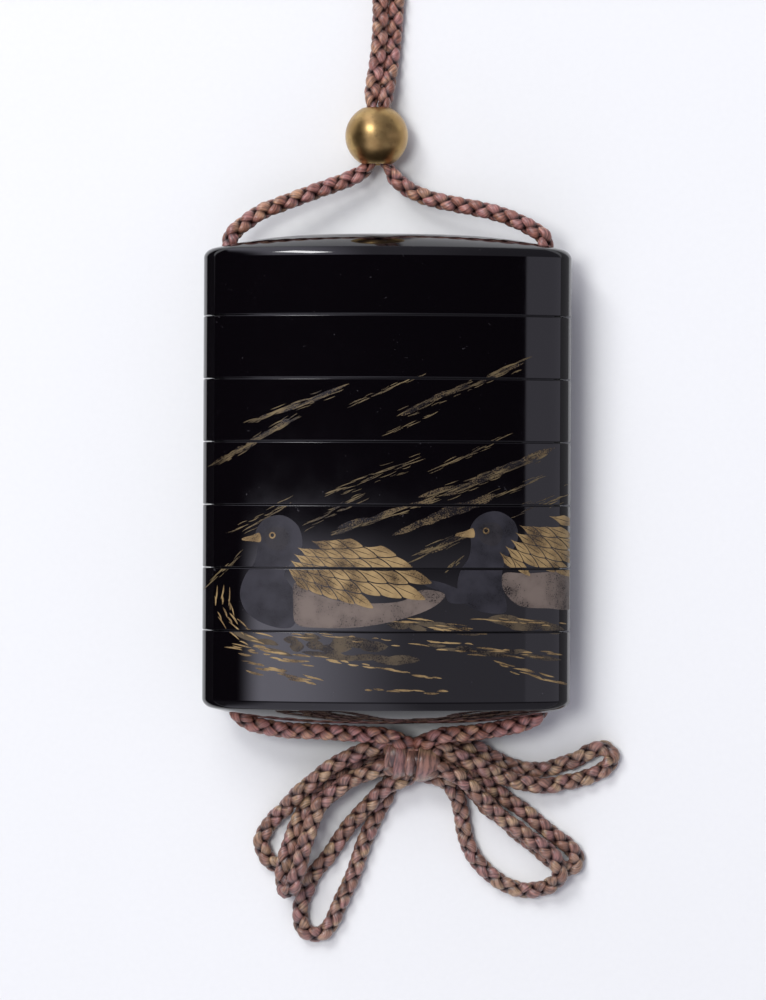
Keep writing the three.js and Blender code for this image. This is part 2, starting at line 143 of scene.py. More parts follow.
LOWER_RIGHT = [
    (10.7, -54.8, 9.2), (12.5, -55.5, 8.9), (15, -57, 8.2), (17.5, -59.5, 7.2), (19.5, -61.5, 6),
    (22, -64, 5.3), (25, -66, 5.2), (27.5, -68, 5.2), (30.5, -70, 5.3), (32, -71.5, 5.3),
    (33, -74, 5.2), (32.5, -76, 4.2), (30, -77.5, 2.6), (26.5, -78, 1.8), (23, -77, 1.8),
    (20, -75, 1.8), (17.5, -72.5, 1.8), (16, -70, 1.8), (15, -67, 1.8), (14.5, -64, 1.9),
    (14, -61.5, 2.9), (13, -59.2, 4.2), (11.8, -57.6, 5), (9.8, -56.5, 5.3), (7.3, -56, 5.3),
    (5.2, -55, 5.3), (4.3, -53.3, 5.4), (5.5, -51.8, 5.5), (8, -51.6, 5.6),
]
MIDDLE_RIGHT = [
    (10.5, -52.5, 5.6), (13, -53.5, 5.4), (15.5, -55.5, 4.8), (18, -57, 3.9), (21, -59, 2.9),
    (23.5, -61, 2.1), (26.5, -63, 1.8), (29.5, -65.5, 1.8), (32, -67.5, 1.8), (34.6, -69.4, 1.8),
    (36.3, -71.5, 1.8), (35.9, -73.3, 1.8), (34, -73.8, 1.8), (31.4, -72.2, 1.8), (28.2, -69.4, 1.8),
    (25, -67, 1.8), (22.5, -64.5, 1.8), (19.5, -62.5, 1.8), (17.5, -60, 1.8), (15, -58, 1.8),
    (13, -56, 1.8), (10.5, -54.5, 1.9), (7.5, -53.5, 3), (5, -53, 5),
]
LEFT_BOW_ROUTE = UPPER_LEFT + MIDDLE_LEFT + LOWER_LEFT
RIGHT_BOW_ROUTE = UPPER_RIGHT + LOWER_RIGHT + MIDDLE_RIGHT
print("points on the routes:", len(CARRYING_ROUTE), len(LEFT_BOW_ROUTE), len(RIGHT_BOW_ROUTE))

# %% [markdown]
# ## The braid
# The cord is a round braid of four thick silk yarns. Two wind one way and two the other, and each goes
# over one and under the next, so the cord shows two columns of plump leaves. A texture on a plain tube
# would look flat at its edges, so the yarns are real tubes that wind round the route. Each yarn is a
# flattened ring of points repeated along the line. It swells and runs nearly straight while it is on
# top, and it is thin and turns quickly underneath.

# %% A smooth line through points
PIECES_PER_KNOT = 16


def on_curve(before, start, end, after, t):
    """A point on the smooth curve from start to end, t from 0 to 1, that suits its neighbours."""
    return 0.5 * (2 * start + (end - before) * t + (2 * before - 5 * start + 4 * end - after) * t * t
                  + (3 * start - before - 3 * end + after) * t ** 3)


def smooth_line(route, step):
    """Points a step apart on a smooth line through a route."""
    knots = [Vector(point) * MM for point in route]
    knots = [2 * knots[0] - knots[1]] + knots + [2 * knots[-1] - knots[-2]]
    fine = []
    for index in range(1, len(knots) - 2):
        fine += [on_curve(*knots[index - 1:index + 3], part / PIECES_PER_KNOT)
                 for part in range(PIECES_PER_KNOT)]
    fine.append(knots[-2])
    line = [fine[0]]
    left_over = 0.0
    for start, end in zip(fine, fine[1:]):
        length = (end - start).length
        along = step - left_over
        while along <= length:
            line.append(start.lerp(end, along / length))
            along += step
        left_over = length - (along - step)
    return line


# %% One ring of a yarn
LAY = 7.0 * MM
RINGS_PER_LAY = 18
YARN_SIDES = 10
SWING = 0.3
# In millimetres: the middle of a yarn from the middle of the cord, half its width and half its height,
# each half way between over and under, and what it gains on top.
YARN_REACH, REACH_GAIN = 0.70, 0.31
YARN_HALF_WIDTH, WIDTH_GAIN = 0.93, 0.24
YARN_HALF_HEIGHT, HEIGHT_GAIN = 0.58, 0.20
# Painted shade: a point nearer the middle of the cord than the first distance lies in a hollow between yarns, and
# its painted shade grows to full over the second.
PAINTED_SHADE_FROM, PAINTED_SHADE_DEPTH = 1.66 * MM, 0.75 * MM


def directions(line, index, across):
    """Ahead, to the side and up at a point of a line. The side lies level, or points across."""
    ahead = line[min(index + 1, len(line) - 1)] - line[max(index - 1, 0)]
    ahead.normalize()
    side = ahead.cross(Vector((0, 0, 1))) if across is None else across - ahead * across.dot(ahead)
    side.normalize()
    return ahead, side, side.cross(ahead)


def yarn_ring(yarn, turn, turn_per_step, step, plump, ahead, side, up):
    """One ring of points round a yarn, as offsets from the middle of the cord."""
    way = 1 if yarn < 2 else -1
    angle = way * turn + (yarn % 2) * math.pi + (0 if way > 0 else math.pi / 2)
    angle += SWING * math.cos(2 * turn)
    over = way * math.sin(2 * turn)
    lift = over + 0.25 * (1 - over * over)
    reach = (YARN_REACH + REACH_GAIN * lift) * MM
    half_width = (YARN_HALF_WIDTH + WIDTH_GAIN * lift) * plump * MM
    half_height = (YARN_HALF_HEIGHT + HEIGHT_GAIN * lift) * MM
    outward = side * math.cos(angle) + up * math.sin(angle)
    round_way = up * math.cos(angle) - side * math.sin(angle)
    along = (ahead + round_way * way * reach * turn_per_step / step).normalized()
    tangent = along.cross(outward)
    bends = [2 * math.pi * corner / YARN_SIDES for corner in range(YARN_SIDES)]
    return [outward * (reach + half_height * math.cos(bend)) + tangent * half_width * math.sin(bend)
            for bend in bends]


# %% Four yarns braided along a line
def full_size(place):
    """Width and height of a cord that nothing presses."""
    return 1.0, 1.0


def tube_faces(first, rings, yarn):
    """The faces of one closed yarn, and where each of their corners lies on its map."""
    faces, corners_on_map = [], []
    for ring_number in range(rings - 1):
        here = first + ring_number * YARN_SIDES
        u, next_u = ring_number / RINGS_PER_LAY, ring_number / RINGS_PER_LAY + 1 / RINGS_PER_LAY
        for corner in range(YARN_SIDES):
            beside = (corner + 1) % YARN_SIDES
            faces.append((here + corner, here + beside, here + YARN_SIDES + beside,
                          here + YARN_SIDES + corner))
            v = yarn + corner / YARN_SIDES
            next_v = v + 1 / YARN_SIDES
            corners_on_map += [(u, v), (u, next_v), (next_u, next_v), (next_u, v)]
    last = first + (rings - 1) * YARN_SIDES
    for cap in (range(first + YARN_SIDES - 1, first - 1, -1), range(last, last + YARN_SIDES)):
        faces.append(tuple(cap))
        corners_on_map += [(0.0, float(yarn))] * YARN_SIDES
    return faces, corners_on_map


def braid_mesh(name, line, squeeze=full_size, across=None, lay=LAY, start_turn=0.0, plump=1.0):
    """Four yarns braided along a line. squeeze gives the width and height of the cord at a place."""
    points, faces, corners_on_map, painted_shade_depths = [], [], [], []
    step = (line[1] - line[0]).length
    turn_per_step = 2 * math.pi * step / lay
    for yarn in range(4):
        yarn_faces, yarn_map_corners = tube_faces(len(points), len(line), yarn)
        faces += yarn_faces
        corners_on_map += yarn_map_corners
        for index, place in enumerate(line):
            ahead, side, up = directions(line, index, across)
            wide, high = squeeze(place)
            turn = start_turn + index * turn_per_step
            for offset in yarn_ring(yarn, turn, turn_per_step, step, plump, ahead, side, up):
                # How deep the point lies in a hollow between the yarns; the silk paints shade there by this value.
                painted_shade_depths.append(min(1, max(0, (PAINTED_SHADE_FROM - offset.length) / PAINTED_SHADE_DEPTH)))
                points.append(place + side * offset.dot(side) * wide + up * offset.dot(up) * high
                              + ahead * offset.dot(ahead))
    mesh = bpy.data.meshes.new(name)
    mesh.from_pydata(points, [], faces)
    layer = mesh.uv_layers.new(name="yarn")
    for loop, corner in zip(layer.data, corners_on_map):
        loop.uv = corner
    # The depth in a hollow is stored, and the silk paints shade by it.
    depth = mesh.attributes.new("hollow", "FLOAT", "POINT")
    depth.data.foreach_set("value", painted_shade_depths)
    mesh.shade_smooth()
    piece = bpy.data.objects.new(name, mesh)
    scene.collection.objects.link(piece)
    print(name, len(faces), "faces,", round((len(line) - 1) * step / MM), "mm")
    return piece


# %% The three lengths of cord
BEAD_CENTRE = Vector((-2.2, 64.8, 5.95)) * MM
STEP = LAY / RINGS_PER_LAY
NEAR_BEAD_X, SQUEEZE_FROM, SQUEEZE_OVER = 4 * MM, 8.2 * MM, 3.4 * MM
NARROWER, TALLER = 0.38, 0.05


def squeezed_in_bead(place):
    """Both strands share the bead's hole, so each is narrow and tall there."""
    if abs(place.x - BEAD_CENTRE.x) > NEAR_BEAD_X:
        return 1.0, 1.0
    inside = min(1, max(0, (SQUEEZE_FROM - abs(place.y - BEAD_CENTRE.y)) / SQUEEZE_OVER))
    inside = inside * inside * (3 - 2 * inside)
    return 1 - NARROWER * inside, 1 + TALLER * inside


carrying_line = smooth_line(CARRYING_ROUTE, STEP)
left_bow_line = smooth_line(LEFT_BOW_ROUTE, STEP)
right_bow_line = smooth_line(RIGHT_BOW_ROUTE, STEP)
carrying_cord = braid_mesh("carrying_cord", carrying_line, squeezed_in_bead)
left_bow = braid_mesh("left_bow", left_bow_line, start_turn=0.7)
right_bow = braid_mesh("right_bow", right_bow_line, start_turn=1.9)

# %% [markdown]
# ## The knot
# Above the bow the cord is wrapped twice round its own strands. A wrapped turn is the same braid, pulled
# flat and tight, so its yarns run almost straight round the knot. The braid follows two loops, one beside
# the other, and it crosses from the first to the second under the knot. The second lies lower and wider.

# %% Wrapped turns
FIRST_LOOP_X, SECOND_LOOP_SHIFT = 2, 5
WRAP_POINTS = 180
WRAP_LAY, WRAP_PLUMP = 44 * MM, 1.75


def wrap_line():
    """Two loops round the knot, as a dense line."""
    loops = []
    for index in range(WRAP_POINTS + 1):
        share = index / WRAP_POINTS
        beside = min(1, max(0, (share - 0.42) / 0.16))
        angle = math.pi * (-0.5 + 4 * share)
        loops.append((FIRST_LOOP_X + SECOND_LOOP_SHIFT * beside,
                      -52.4 - 0.9 * beside + (3.3 - 0.5 * beside) * math.cos(angle),
                      5.9 + 4.5 * math.sin(angle)))
    return smooth_line(loops, STEP)


def flattened(place):
    """A wrapped turn is wide and flat, and the second is the wider."""
    return 1.25 + 0.3 * min(1, max(0, (place.x / MM - FIRST_LOOP_X) / SECOND_LOOP_SHIFT)), 0.6


knot_wraps = braid_mesh("knot_wraps", wrap_line(), flattened, across=Vector((1, 0, 0)), lay=WRAP_LAY,
                        plump=WRAP_PLUMP)

for piece in (carrying_cord, left_bow, right_bow, knot_wraps):
    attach(piece, "root")


# %% [markdown]
# ## Modelling by hand, in code
# The case and the bead are modelled with the same tools as in Blender's window. An operator acts on all
# that is selected, so these helpers first clear the selection, and then pick faces or edges by place.

# %% Helpers for selecting
NEAR = 0.001 * MM


def clear_selection():
    bpy.ops.object.select_all(action="DESELECT")


def pick(piece):
    clear_selection()
    piece.select_set(True)
    bpy.context.view_layer.objects.active = piece


def select_vertices(piece, wanted):
    """In edit mode, selects the vertices that a test picks."""
    bpy.ops.mesh.select_mode(type="VERT")
    bpy.ops.mesh.select_all(action="DESELECT")
    mesh = bmesh.from_edit_mesh(piece.data)
    for vertex in mesh.verts:
        if wanted(vertex.co):
            vertex.select_set(True)
    mesh.select_flush(True)
    bmesh.update_edit_mesh(piece.data)


def cut_with(piece, tool, operation):
    """Joins or cuts two solids, and removes the tool."""
    pick(piece)
    boolean = piece.modifiers.new("cut", "BOOLEAN")
    boolean.operation = operation
    boolean.solver = "EXACT"
    boolean.object = tool
    bpy.ops.object.modifier_apply(modifier=boolean.name)
    bpy.data.objects.remove(tool)


# %% [markdown]
# ## The case
# Seen from its end the case is an oval of four arcs: long ones for the front and back, short ones for the
# sides. A point is spun round the centre of each arc in turn, as with a pair of compasses. The outline is
# filled and drawn out into a block, and the narrow strip that the case rests on is cut flat.

# %% Sizes of the case, in millimetres
SIDE_RADIUS, FACE_RADIUS = 7.5, 76.52
SIDE_CENTRE, FACE_CENTRE, MIDDLE = 27.0, 63.52, 12.75
JOIN_ANGLE = math.atan2(FACE_CENTRE, SIDE_CENTRE)
WALL, LIP_PLAY, LIP_WALL, LIP_HEIGHT = 1.4, 0.15, 1.0, 4.0
SECTION_HEIGHT, SEAM, FLOOR = 11.75, 0.12, 1.2
TOP_SHOULDER, LID_HEIGHT, BOTTOM_HEIGHT = 42.6, 12.2, 14.25
CHANNEL_X, CHANNEL_RADIUS = 29.5, 2.2
HOLLOW_END = 25.4
SIDE_STEPS, FACE_STEPS = 44, 40


# %% An oval block
def oval_block(name, inset, low, high):
    """A solid oval from one height to the next, moved in from the outline of the case."""
    clear_selection()
    start = Vector((SIDE_CENTRE + (SIDE_RADIUS - inset) * math.cos(JOIN_ANGLE), low,
                    MIDDLE - (SIDE_RADIUS - inset) * math.sin(JOIN_ANGLE))) * MM
    bpy.ops.mesh.primitive_plane_add(size=MM, location=start)
    block = bpy.context.object
    block.name = name
    bpy.ops.object.transform_apply(location=True, rotation=True, scale=True)
    bpy.ops.object.mode_set(mode="EDIT")
    bpy.ops.mesh.merge(type="CENTER")
    side_turn, face_turn = 2 * JOIN_ANGLE, math.pi - 2 * JOIN_ANGLE
    for turn, steps, x, z in [(side_turn, SIDE_STEPS, SIDE_CENTRE, MIDDLE),
                              (face_turn, FACE_STEPS, 0, MIDDLE - FACE_CENTRE),
                              (side_turn, SIDE_STEPS, -SIDE_CENTRE, MIDDLE),
                              (face_turn, FACE_STEPS, 0, MIDDLE + FACE_CENTRE)]:
        bpy.ops.mesh.spin(steps=steps, angle=turn, center=(x * MM, low * MM, z * MM), axis=(0, 1, 0))
    bpy.ops.mesh.select_all(action="SELECT")
    bpy.ops.mesh.remove_doubles(threshold=NEAR)
    bpy.ops.mesh.select_all(action="SELECT")
    bpy.ops.mesh.edge_face_add()
    bpy.ops.mesh.extrude_region_move(TRANSFORM_OT_translate={"value": (0, (high - low) * MM, 0)})
    bpy.ops.mesh.select_all(action="SELECT")
    bpy.ops.mesh.normals_make_consistent(inside=False)
    bpy.ops.object.mode_set(mode="OBJECT")
    return block


# %% [markdown]
# ## The sections
# A middle section is a ring-like box. A lip on its top slides into the section above, its underside has
# the recess for the lip below, and two round channels run through its ends for the cord. Solids are
# joined and cut, as a joiner would do it, and the outer edges are rounded first, because polished
# lacquer always has a soft edge that catches a line of light.

# %% Rims and the flat back
EDGE = 0.2
CUT_THRESHOLD = 0.0001 * MM


def soften_rims(block, low, high, width=EDGE):
    """Rounds the two rims of a block."""
    pick(block)
    bpy.ops.object.mode_set(mode="EDIT")
    for level in (low, high):
        if level is not None:
            select_vertices(block, lambda place: abs(place.y - level * MM) < NEAR)
            bpy.ops.mesh.bevel(offset=width * MM, segments=3, profile=0.5)
    bpy.ops.object.mode_set(mode="OBJECT")


def flatten_back(block):
    """Cuts the narrow strip that the case rests on."""
    pick(block)
    bpy.ops.object.mode_set(mode="EDIT")
    bpy.ops.mesh.select_all(action="SELECT")
    bpy.ops.mesh.bisect(plane_co=(0, 0, 0), plane_no=(0, 0, 1), use_fill=True, clear_inner=True,
                        threshold=CUT_THRESHOLD)
    bpy.ops.object.mode_set(mode="OBJECT")


# %% The lip, the recess, the hollow and the channels
def lip(top):
    block = oval_block("lip", WALL + LIP_PLAY, top - 1, top + LIP_HEIGHT)
    soften_rims(block, None, top + LIP_HEIGHT)
    return block


def recess(bottom):
    return oval_block("recess", WALL, bottom - 1, bottom + LIP_HEIGHT + LIP_PLAY)


def hollow(low, high):
    """The room inside a section: the oval inside the lip, cut off before the channels."""
    block = oval_block("hollow", WALL + LIP_PLAY + LIP_WALL, low, high)
    pick(block)
    bpy.ops.object.mode_set(mode="EDIT")
    for way in (-1, 1):
        bpy.ops.mesh.select_all(action="SELECT")
        bpy.ops.mesh.bisect(plane_co=(way * HOLLOW_END * MM, 0, 0), plane_no=(way, 0, 0), use_fill=True,
                            clear_outer=True, threshold=CUT_THRESHOLD)
    bpy.ops.object.mode_set(mode="OBJECT")
    return block


def drill_channels(block):
    for x in (-CHANNEL_X, CHANNEL_X):
        clear_selection()
        bpy.ops.mesh.primitive_cylinder_add(vertices=32, radius=CHANNEL_RADIUS * MM, depth=0.2,
                                            location=(x * MM, 0, MIDDLE * MM),
                                            rotation=(math.radians(90), 0, 0))
        drill = bpy.context.object
        bpy.ops.object.transform_apply(location=True, rotation=True, scale=True)
        cut_with(block, drill, "DIFFERENCE")


# %% Smooth a section and name it
def straighten_reflections(piece):
    """Lets the large faces set the shading, so a rounded edge doesn't bend what a wall mirrors."""
    pick(piece)
    weighted = piece.modifiers.new("weighted", "WEIGHTED_NORMAL")
    weighted.keep_sharp, weighted.weight = True, 100
    bpy.ops.object.modifier_apply(modifier=weighted.name)


def finish_section(block, name, node):
    """Smooths a section and lets it stand for its plain one."""
    pick(block)
    bpy.ops.object.mode_set(mode="EDIT")
    bpy.ops.mesh.select_all(action="SELECT")
    bpy.ops.mesh.remove_doubles(threshold=NEAR)
    bpy.ops.mesh.dissolve_degenerate(threshold=0.0005 * MM)
    bpy.ops.mesh.select_all(action="SELECT")
    bpy.ops.mesh.normals_make_consistent(inside=False)
    bpy.ops.object.mode_set(mode="OBJECT")
    bpy.ops.object.shade_smooth_by_angle(angle=math.radians(35))
    straighten_reflections(block)
    block.name = name
    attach(block, "root")
    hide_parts(node)


# %% Five middle sections
def middle_section(bottom):
    top = bottom + SECTION_HEIGHT - SEAM
    section = oval_block("section", 0, bottom, top)
    flatten_back(section)
    soften_rims(section, bottom, top)
    cut_with(section, lip(top), "UNION")
    cut_with(section, recess(bottom), "DIFFERENCE")
    cut_with(section, hollow(bottom + LIP_HEIGHT + LIP_PLAY + FLOOR, top + LIP_HEIGHT + 1), "DIFFERENCE")
    drill_channels(section)
    return section


first_bottom = TOP_SHOULDER - LID_HEIGHT - SECTION_HEIGHT
sections = [middle_section(first_bottom)]
for number in range(2, 6):
    pick(sections[0])
    bpy.ops.object.duplicate()
    bpy.context.object.location.y = -(number - 1) * SECTION_HEIGHT * MM
    bpy.ops.object.transform_apply(location=True, rotation=True, scale=True)
    sections.append(bpy.context.object)
for number, section in enumerate(sections, start=1):
    finish_section(section, f"lacquered_middle_case_{number}", f"middle_case_{number}")
print("a middle section, mm:", [round(size / MM, 2) for size in sections[0].dimensions])

# %% [markdown]
# ## The lid and the bottom
# The two end sections have a low dome. Its rim turns over tightly, and then it rises slowly to the
# middle. The end face of the block is drawn out in small steps, and each new ring is pressed in towards
# the axis of the case, so the dome keeps the oval of the case all the way in.

# %% Domed ends
ROUND_FROM, DOME_RISE, SHOULDER_DROP = 0.955, 3.3, 1.3


def dome_height(share):
    turn = max(0, (share - ROUND_FROM) / (1 - ROUND_FROM))
    return DOME_RISE * (1 - share ** 3) - SHOULDER_DROP * (1 - math.sqrt(1 - turn * turn))


def raise_dome(block, edge, way):
    """Draws the end of a block out into a dome. way is 1 towards the lid and -1 towards the bottom."""
    turns = [math.radians(angle) for angle in (12, 24, 36, 48, 60, 72, 83, 90)]
    shares = [ROUND_FROM + (1 - ROUND_FROM) * math.cos(turn) for turn in turns]
    shares += [0.93, 0.89, 0.84, 0.78, 0.71, 0.63, 0.54, 0.44, 0.33, 0.22, 0.11]
    pick(block)
    bpy.ops.object.mode_set(mode="EDIT")
    select_vertices(block, lambda place: abs(place.y - edge * MM) < NEAR)
    bpy.ops.mesh.select_mode(type="FACE")
    share, height = 1.0, dome_height(1.0)
    for next_share in shares:
        rise = dome_height(next_share) - height
        bpy.ops.mesh.extrude_region_move(TRANSFORM_OT_translate={"value": (0, way * rise * MM, 0)})
        size = next_share / share
        bpy.ops.transform.resize(value=(size, 1, size), center_override=(0, 0, MIDDLE * MM))
        share, height = next_share, height + rise
    bpy.ops.mesh.extrude_region_move(
        TRANSFORM_OT_translate={"value": (0, way * (dome_height(0) - height) * MM, 0)})
    bpy.ops.transform.resize(value=(0.0001, 1, 0.0001), center_override=(0, 0, MIDDLE * MM))
    bpy.ops.mesh.select_all(action="SELECT")
    bpy.ops.mesh.remove_doubles(threshold=0.02 * MM)
    bpy.ops.object.mode_set(mode="OBJECT")


lid_bottom = TOP_SHOULDER - LID_HEIGHT
lid = oval_block("lid_block", 0, lid_bottom, TOP_SHOULDER - SHOULDER_DROP)
raise_dome(lid, TOP_SHOULDER - SHOULDER_DROP, 1)
flatten_back(lid)
soften_rims(lid, lid_bottom, None)
cut_with(lid, recess(lid_bottom), "DIFFERENCE")
cut_with(lid, hollow(lid_bottom, TOP_SHOULDER - 0.2), "DIFFERENCE")
drill_channels(lid)
finish_section(lid, "lacquered_lid", "lid")

base_top = -TOP_SHOULDER + BOTTOM_HEIGHT - SEAM
base = oval_block("base_block", 0, -TOP_SHOULDER + SHOULDER_DROP, base_top)
raise_dome(base, -TOP_SHOULDER + SHOULDER_DROP, -1)
flatten_back(base)
soften_rims(base, None, base_top)
cut_with(base, lip(base_top), "UNION")
cut_with(base, hollow(-TOP_SHOULDER + 0.2, base_top + LIP_HEIGHT + 1), "DIFFERENCE")
drill_channels(base)
finish_section(base, "lacquered_bottom_case", "bottom_case")
print("lid and bottom, mm:", [round(piece.dimensions.y / MM, 2) for piece in (lid, base)])

# %% [markdown]
# ## The bead
# The bead is a turned bronze ball with one wide hole. A fine sphere is cut off square at both ends of
# the hole's line, the two open rims are bridged by the wall of the hole, and the rims are rounded.

# %% Bead
BEAD_RADIUS, HOLE_RADIUS, RIM = 5.95, 2.35, 0.4
clear_selection()
bpy.ops.mesh.primitive_uv_sphere_add(segments=64, ring_count=32, radius=BEAD_RADIUS * MM, location=BEAD_CENTRE,
                                     rotation=(math.radians(90), 0, 0))
bead = bpy.context.object
bead.name = "bronze_bead"
bpy.ops.object.transform_apply(location=True, rotation=True, scale=True)
mouth = math.sqrt(BEAD_RADIUS ** 2 - HOLE_RADIUS ** 2)
bpy.ops.object.mode_set(mode="EDIT")
for way in (-1, 1):
    bpy.ops.mesh.select_all(action="SELECT")
    bpy.ops.mesh.bisect(plane_co=BEAD_CENTRE + Vector((0, way * mouth * MM, 0)), plane_no=(0, way, 0),
                        clear_outer=True, threshold=CUT_THRESHOLD)
select_vertices(bead, lambda place: abs(abs(place.y - BEAD_CENTRE.y) - mouth * MM) < NEAR)
bpy.ops.mesh.select_mode(type="EDGE")
bpy.ops.mesh.bridge_edge_loops()
bpy.ops.mesh.select_all(action="SELECT")
bpy.ops.mesh.normals_make_consistent(inside=False)
bpy.ops.object.mode_set(mode="OBJECT")
rim = bead.modifiers.new("rim", "BEVEL")
rim.width, rim.segments, rim.limit_method, rim.angle_limit = RIM * MM, 4, "ANGLE", math.radians(40)
bpy.ops.object.modifier_apply(modifier=rim.name)
bpy.ops.object.shade_smooth_by_angle(angle=math.radians(40))
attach(bead, "root")
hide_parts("bead")
print("bead, mm:", [round(size / MM, 2) for size in bead.dimensions], len(bead.data.polygons), "faces")

# %% [markdown]
# ## The picture
# Two waterfowl swim in a current. The shapes were brushed in lacquer and sprinkled with gold, silver and
# charcoal powder while wet. A texture would blur at this size, so each shape is a flat outline that is
# filled, cut along the seams of the case and laid on its curved front, hardly thicker than the powder.
# It is drawn flat in millimetres first, as a pattern is, and made small afterwards.

# %% Filled outlines, in millimetres
random.seed(8)
HAIR = 0.0004
CORNER_STEPS = 6


def rounded(outline):
    """A closed outline that is smooth through its corners."""
    corners = [Vector(corner) for corner in outline]
    count = len(corners)
    smooth = []
    for index in range(count):
        near = [corners[(index + offset) % count] for offset in (-1, 0, 1, 2)]
        smooth += [on_curve(*near, part / CORNER_STEPS).to_tuple() for part in range(CORNER_STEPS)]
    return smooth


def filled(name, outlines):
    """One flat piece from closed outlines in x and y. Shapes lie a hair above each other, in eight steps."""
    clear_selection()
    sheets = []
    for index, outline in enumerate(outlines):
        curve = bpy.data.curves.new(name, "CURVE")
        curve.dimensions, curve.fill_mode = "2D", "FRONT"
        spline = curve.splines.new("POLY")
        spline.points.add(len(outline) - 1)
        for point, (x, y) in zip(spline.points, outline):
            point.co = (x, y, 0, 1)
        spline.use_cyclic_u = True
        sheet = bpy.data.objects.new(name, curve)
        sheet.location.z = index % 8 * HAIR
        scene.collection.objects.link(sheet)
        sheet.select_set(True)
        sheets.append(sheet)
    bpy.context.view_layer.objects.active = sheets[0]
    bpy.ops.object.convert(target="MESH")
    if len(sheets) > 1:
        bpy.ops.object.join()
    return bpy.context.object


# %% Brush strokes
STROKE_STEPS = 8
LEAST_HALF_WIDTH = 0.01
RING_FLATNESS = 0.8


def stroke(x, y, angle, length, width, bend=0.0):
    """The outline of a brush stroke with two pointed ends."""
    turn = math.radians(angle)
    ahead, aside = (math.cos(turn), math.sin(turn)), (-math.sin(turn), math.cos(turn))
    upper, lower = [], []
    for part in range(STROKE_STEPS + 1):
        share = part / STROKE_STEPS
        along = (share - 0.5) * length
        half = width / 2 * math.sin(math.pi * share) ** 0.7 + LEAST_HALF_WIDTH
        sway = bend * (1 - (2 * share - 1) ** 2)
        for side, edge in ((1, upper), (-1, lower)):
            edge.append((x + ahead[0] * along + aside[0] * (sway + side * half),
                         y + ahead[1] * along + aside[1] * (sway + side * half)))
    return upper + lower[::-1]


def drift(start, end, count, spread, width, longest=5.0):
    """Broken dashes that follow a line, as powder breaks up along a brushed current."""
    angle = math.degrees(math.atan2(end[1] - start[1], end[0] - start[0]))
    dashes = []
    for index in range(count):
        share = (index + random.random()) / count
        dashes.append(stroke(start[0] + (end[0] - start[0]) * share, start[1] + (end[1] - start[1]) * share
                             + random.uniform(-spread, spread), angle + random.uniform(-4, 4),
                             random.uniform(0.3, 1) * longest, random.uniform(0.45, 1) * width,
                             random.uniform(-0.15, 0.15)))
    return dashes


def ring_dashes(centre, radius, start, end, count, width):
    """Dashes on part of a flattened ring: a ripple that spreads from a breast."""
    dashes = []
    for index in range(count):
        angle = math.radians(start + (end - start) * (index + random.random() * 0.7) / count)
        reach = radius + random.uniform(-0.35, 0.35)
        slope = math.degrees(math.atan2(-RING_FLATNESS * math.cos(angle), math.sin(angle)))
        dashes.append(stroke(centre[0] + reach * math.cos(angle),
                             centre[1] + RING_FLATNESS * reach * math.sin(angle), slope,
                             random.uniform(1.5, 4), random.uniform(0.5, 1) * width, -0.12))
    return dashes


# %% Feathers
FAN_ROWS, FAN_STEPS = range(-60, 1), range(40)
FEATHER_STEPS, FEATHER_LENGTH, FEATHER_WIDTH = 10, 0.94, 0.84
QUILL_LENGTH, QUILL_WIDTH = 1.1, 0.09


def within(outline, x, y):
    """Whether a point lies inside an outline: a line from it crosses the outline an odd number of times."""
    inside = False
    for (x1, y1), (x2, y2) in zip(outline, outline[1:] + outline[:1]):
        if (y1 > y) != (y2 > y) and x < x1 + (y - y1) * (x2 - x1) / (y2 - y1):
            inside = not inside
    return inside


def feather_fan(pivot, wing, nearest, half_length, half_angle):
    """Overlapping feathers in a fan round a pivot. They grow outwards, and a dark gap parts them."""
    feathers, quills = [], []
    for row in FAN_ROWS:
        for step in FAN_STEPS:
            if (row + step) % 2:
                continue
            middle_reach = nearest * math.exp(half_length * step)
            middle_angle = half_angle * row
            x = pivot[0] + middle_reach * math.cos(middle_angle)
            y = pivot[1] + middle_reach * math.sin(middle_angle)
            if not within(wing, x, y):
                continue
            sides = {1: [], -1: []}
            for part in range(FEATHER_STEPS + 1):
                share = -FEATHER_LENGTH + 2 * FEATHER_LENGTH * part / FEATHER_STEPS
                wide = 1 - share ** 1.7 if share >= 0 else (1 + share) ** 1.7
                reach = middle_reach * math.exp(half_length * share)
                for side in (1, -1):
                    angle = middle_angle + side * half_angle * FEATHER_WIDTH * wide
                    sides[side].append((pivot[0] + reach * math.cos(angle), pivot[1] + reach * math.sin(angle)))
            feathers.append(sides[1] + sides[-1][::-1])
            quills.append(stroke(x, y, math.degrees(middle_angle), middle_reach * half_length * QUILL_LENGTH,
                                 QUILL_WIDTH))
    return feathers, quills


# %% The two birds, in millimetres
def moved(outline, x, y):
    return [(x + outline_x, y + outline_y) for outline_x, outline_y in outline]


LEFT_BODY = [
    (-15.6, -11.4), (-16.6, -8.6), (-19.4, -6.9), (-22.6, -7.6), (-24.3, -10.0), (-24.0, -12.8),
    (-24.4, -15.4), (-26.4, -18.4), (-27.2, -21.8), (-25.8, -25.0), (-22.2, -27.2), (-17.8, -27.7),
    (-16.2, -24.6), (-17.2, -20.8), (-18.9, -18.0), (-17.6, -15.6), (-16.0, -13.6),
]
LEFT_FLANK = [
    (-17.0, -19.4), (-14.0, -21.0), (-8.5, -22.7), (-2.5, -23.1), (3.0, -22.6), (6.6, -20.6), (10.8, -21.4),
    (8.2, -24.0), (2.0, -26.2), (-5.0, -27.5), (-12.0, -27.7), (-16.6, -27.0), (-17.2, -23.4),
]
LEFT_TAIL = [(6.0, -18.6), (10.8, -19.4), (17.4, -22.6), (12.0, -23.0), (10.4, -21.0), (7.2, -19.8)]
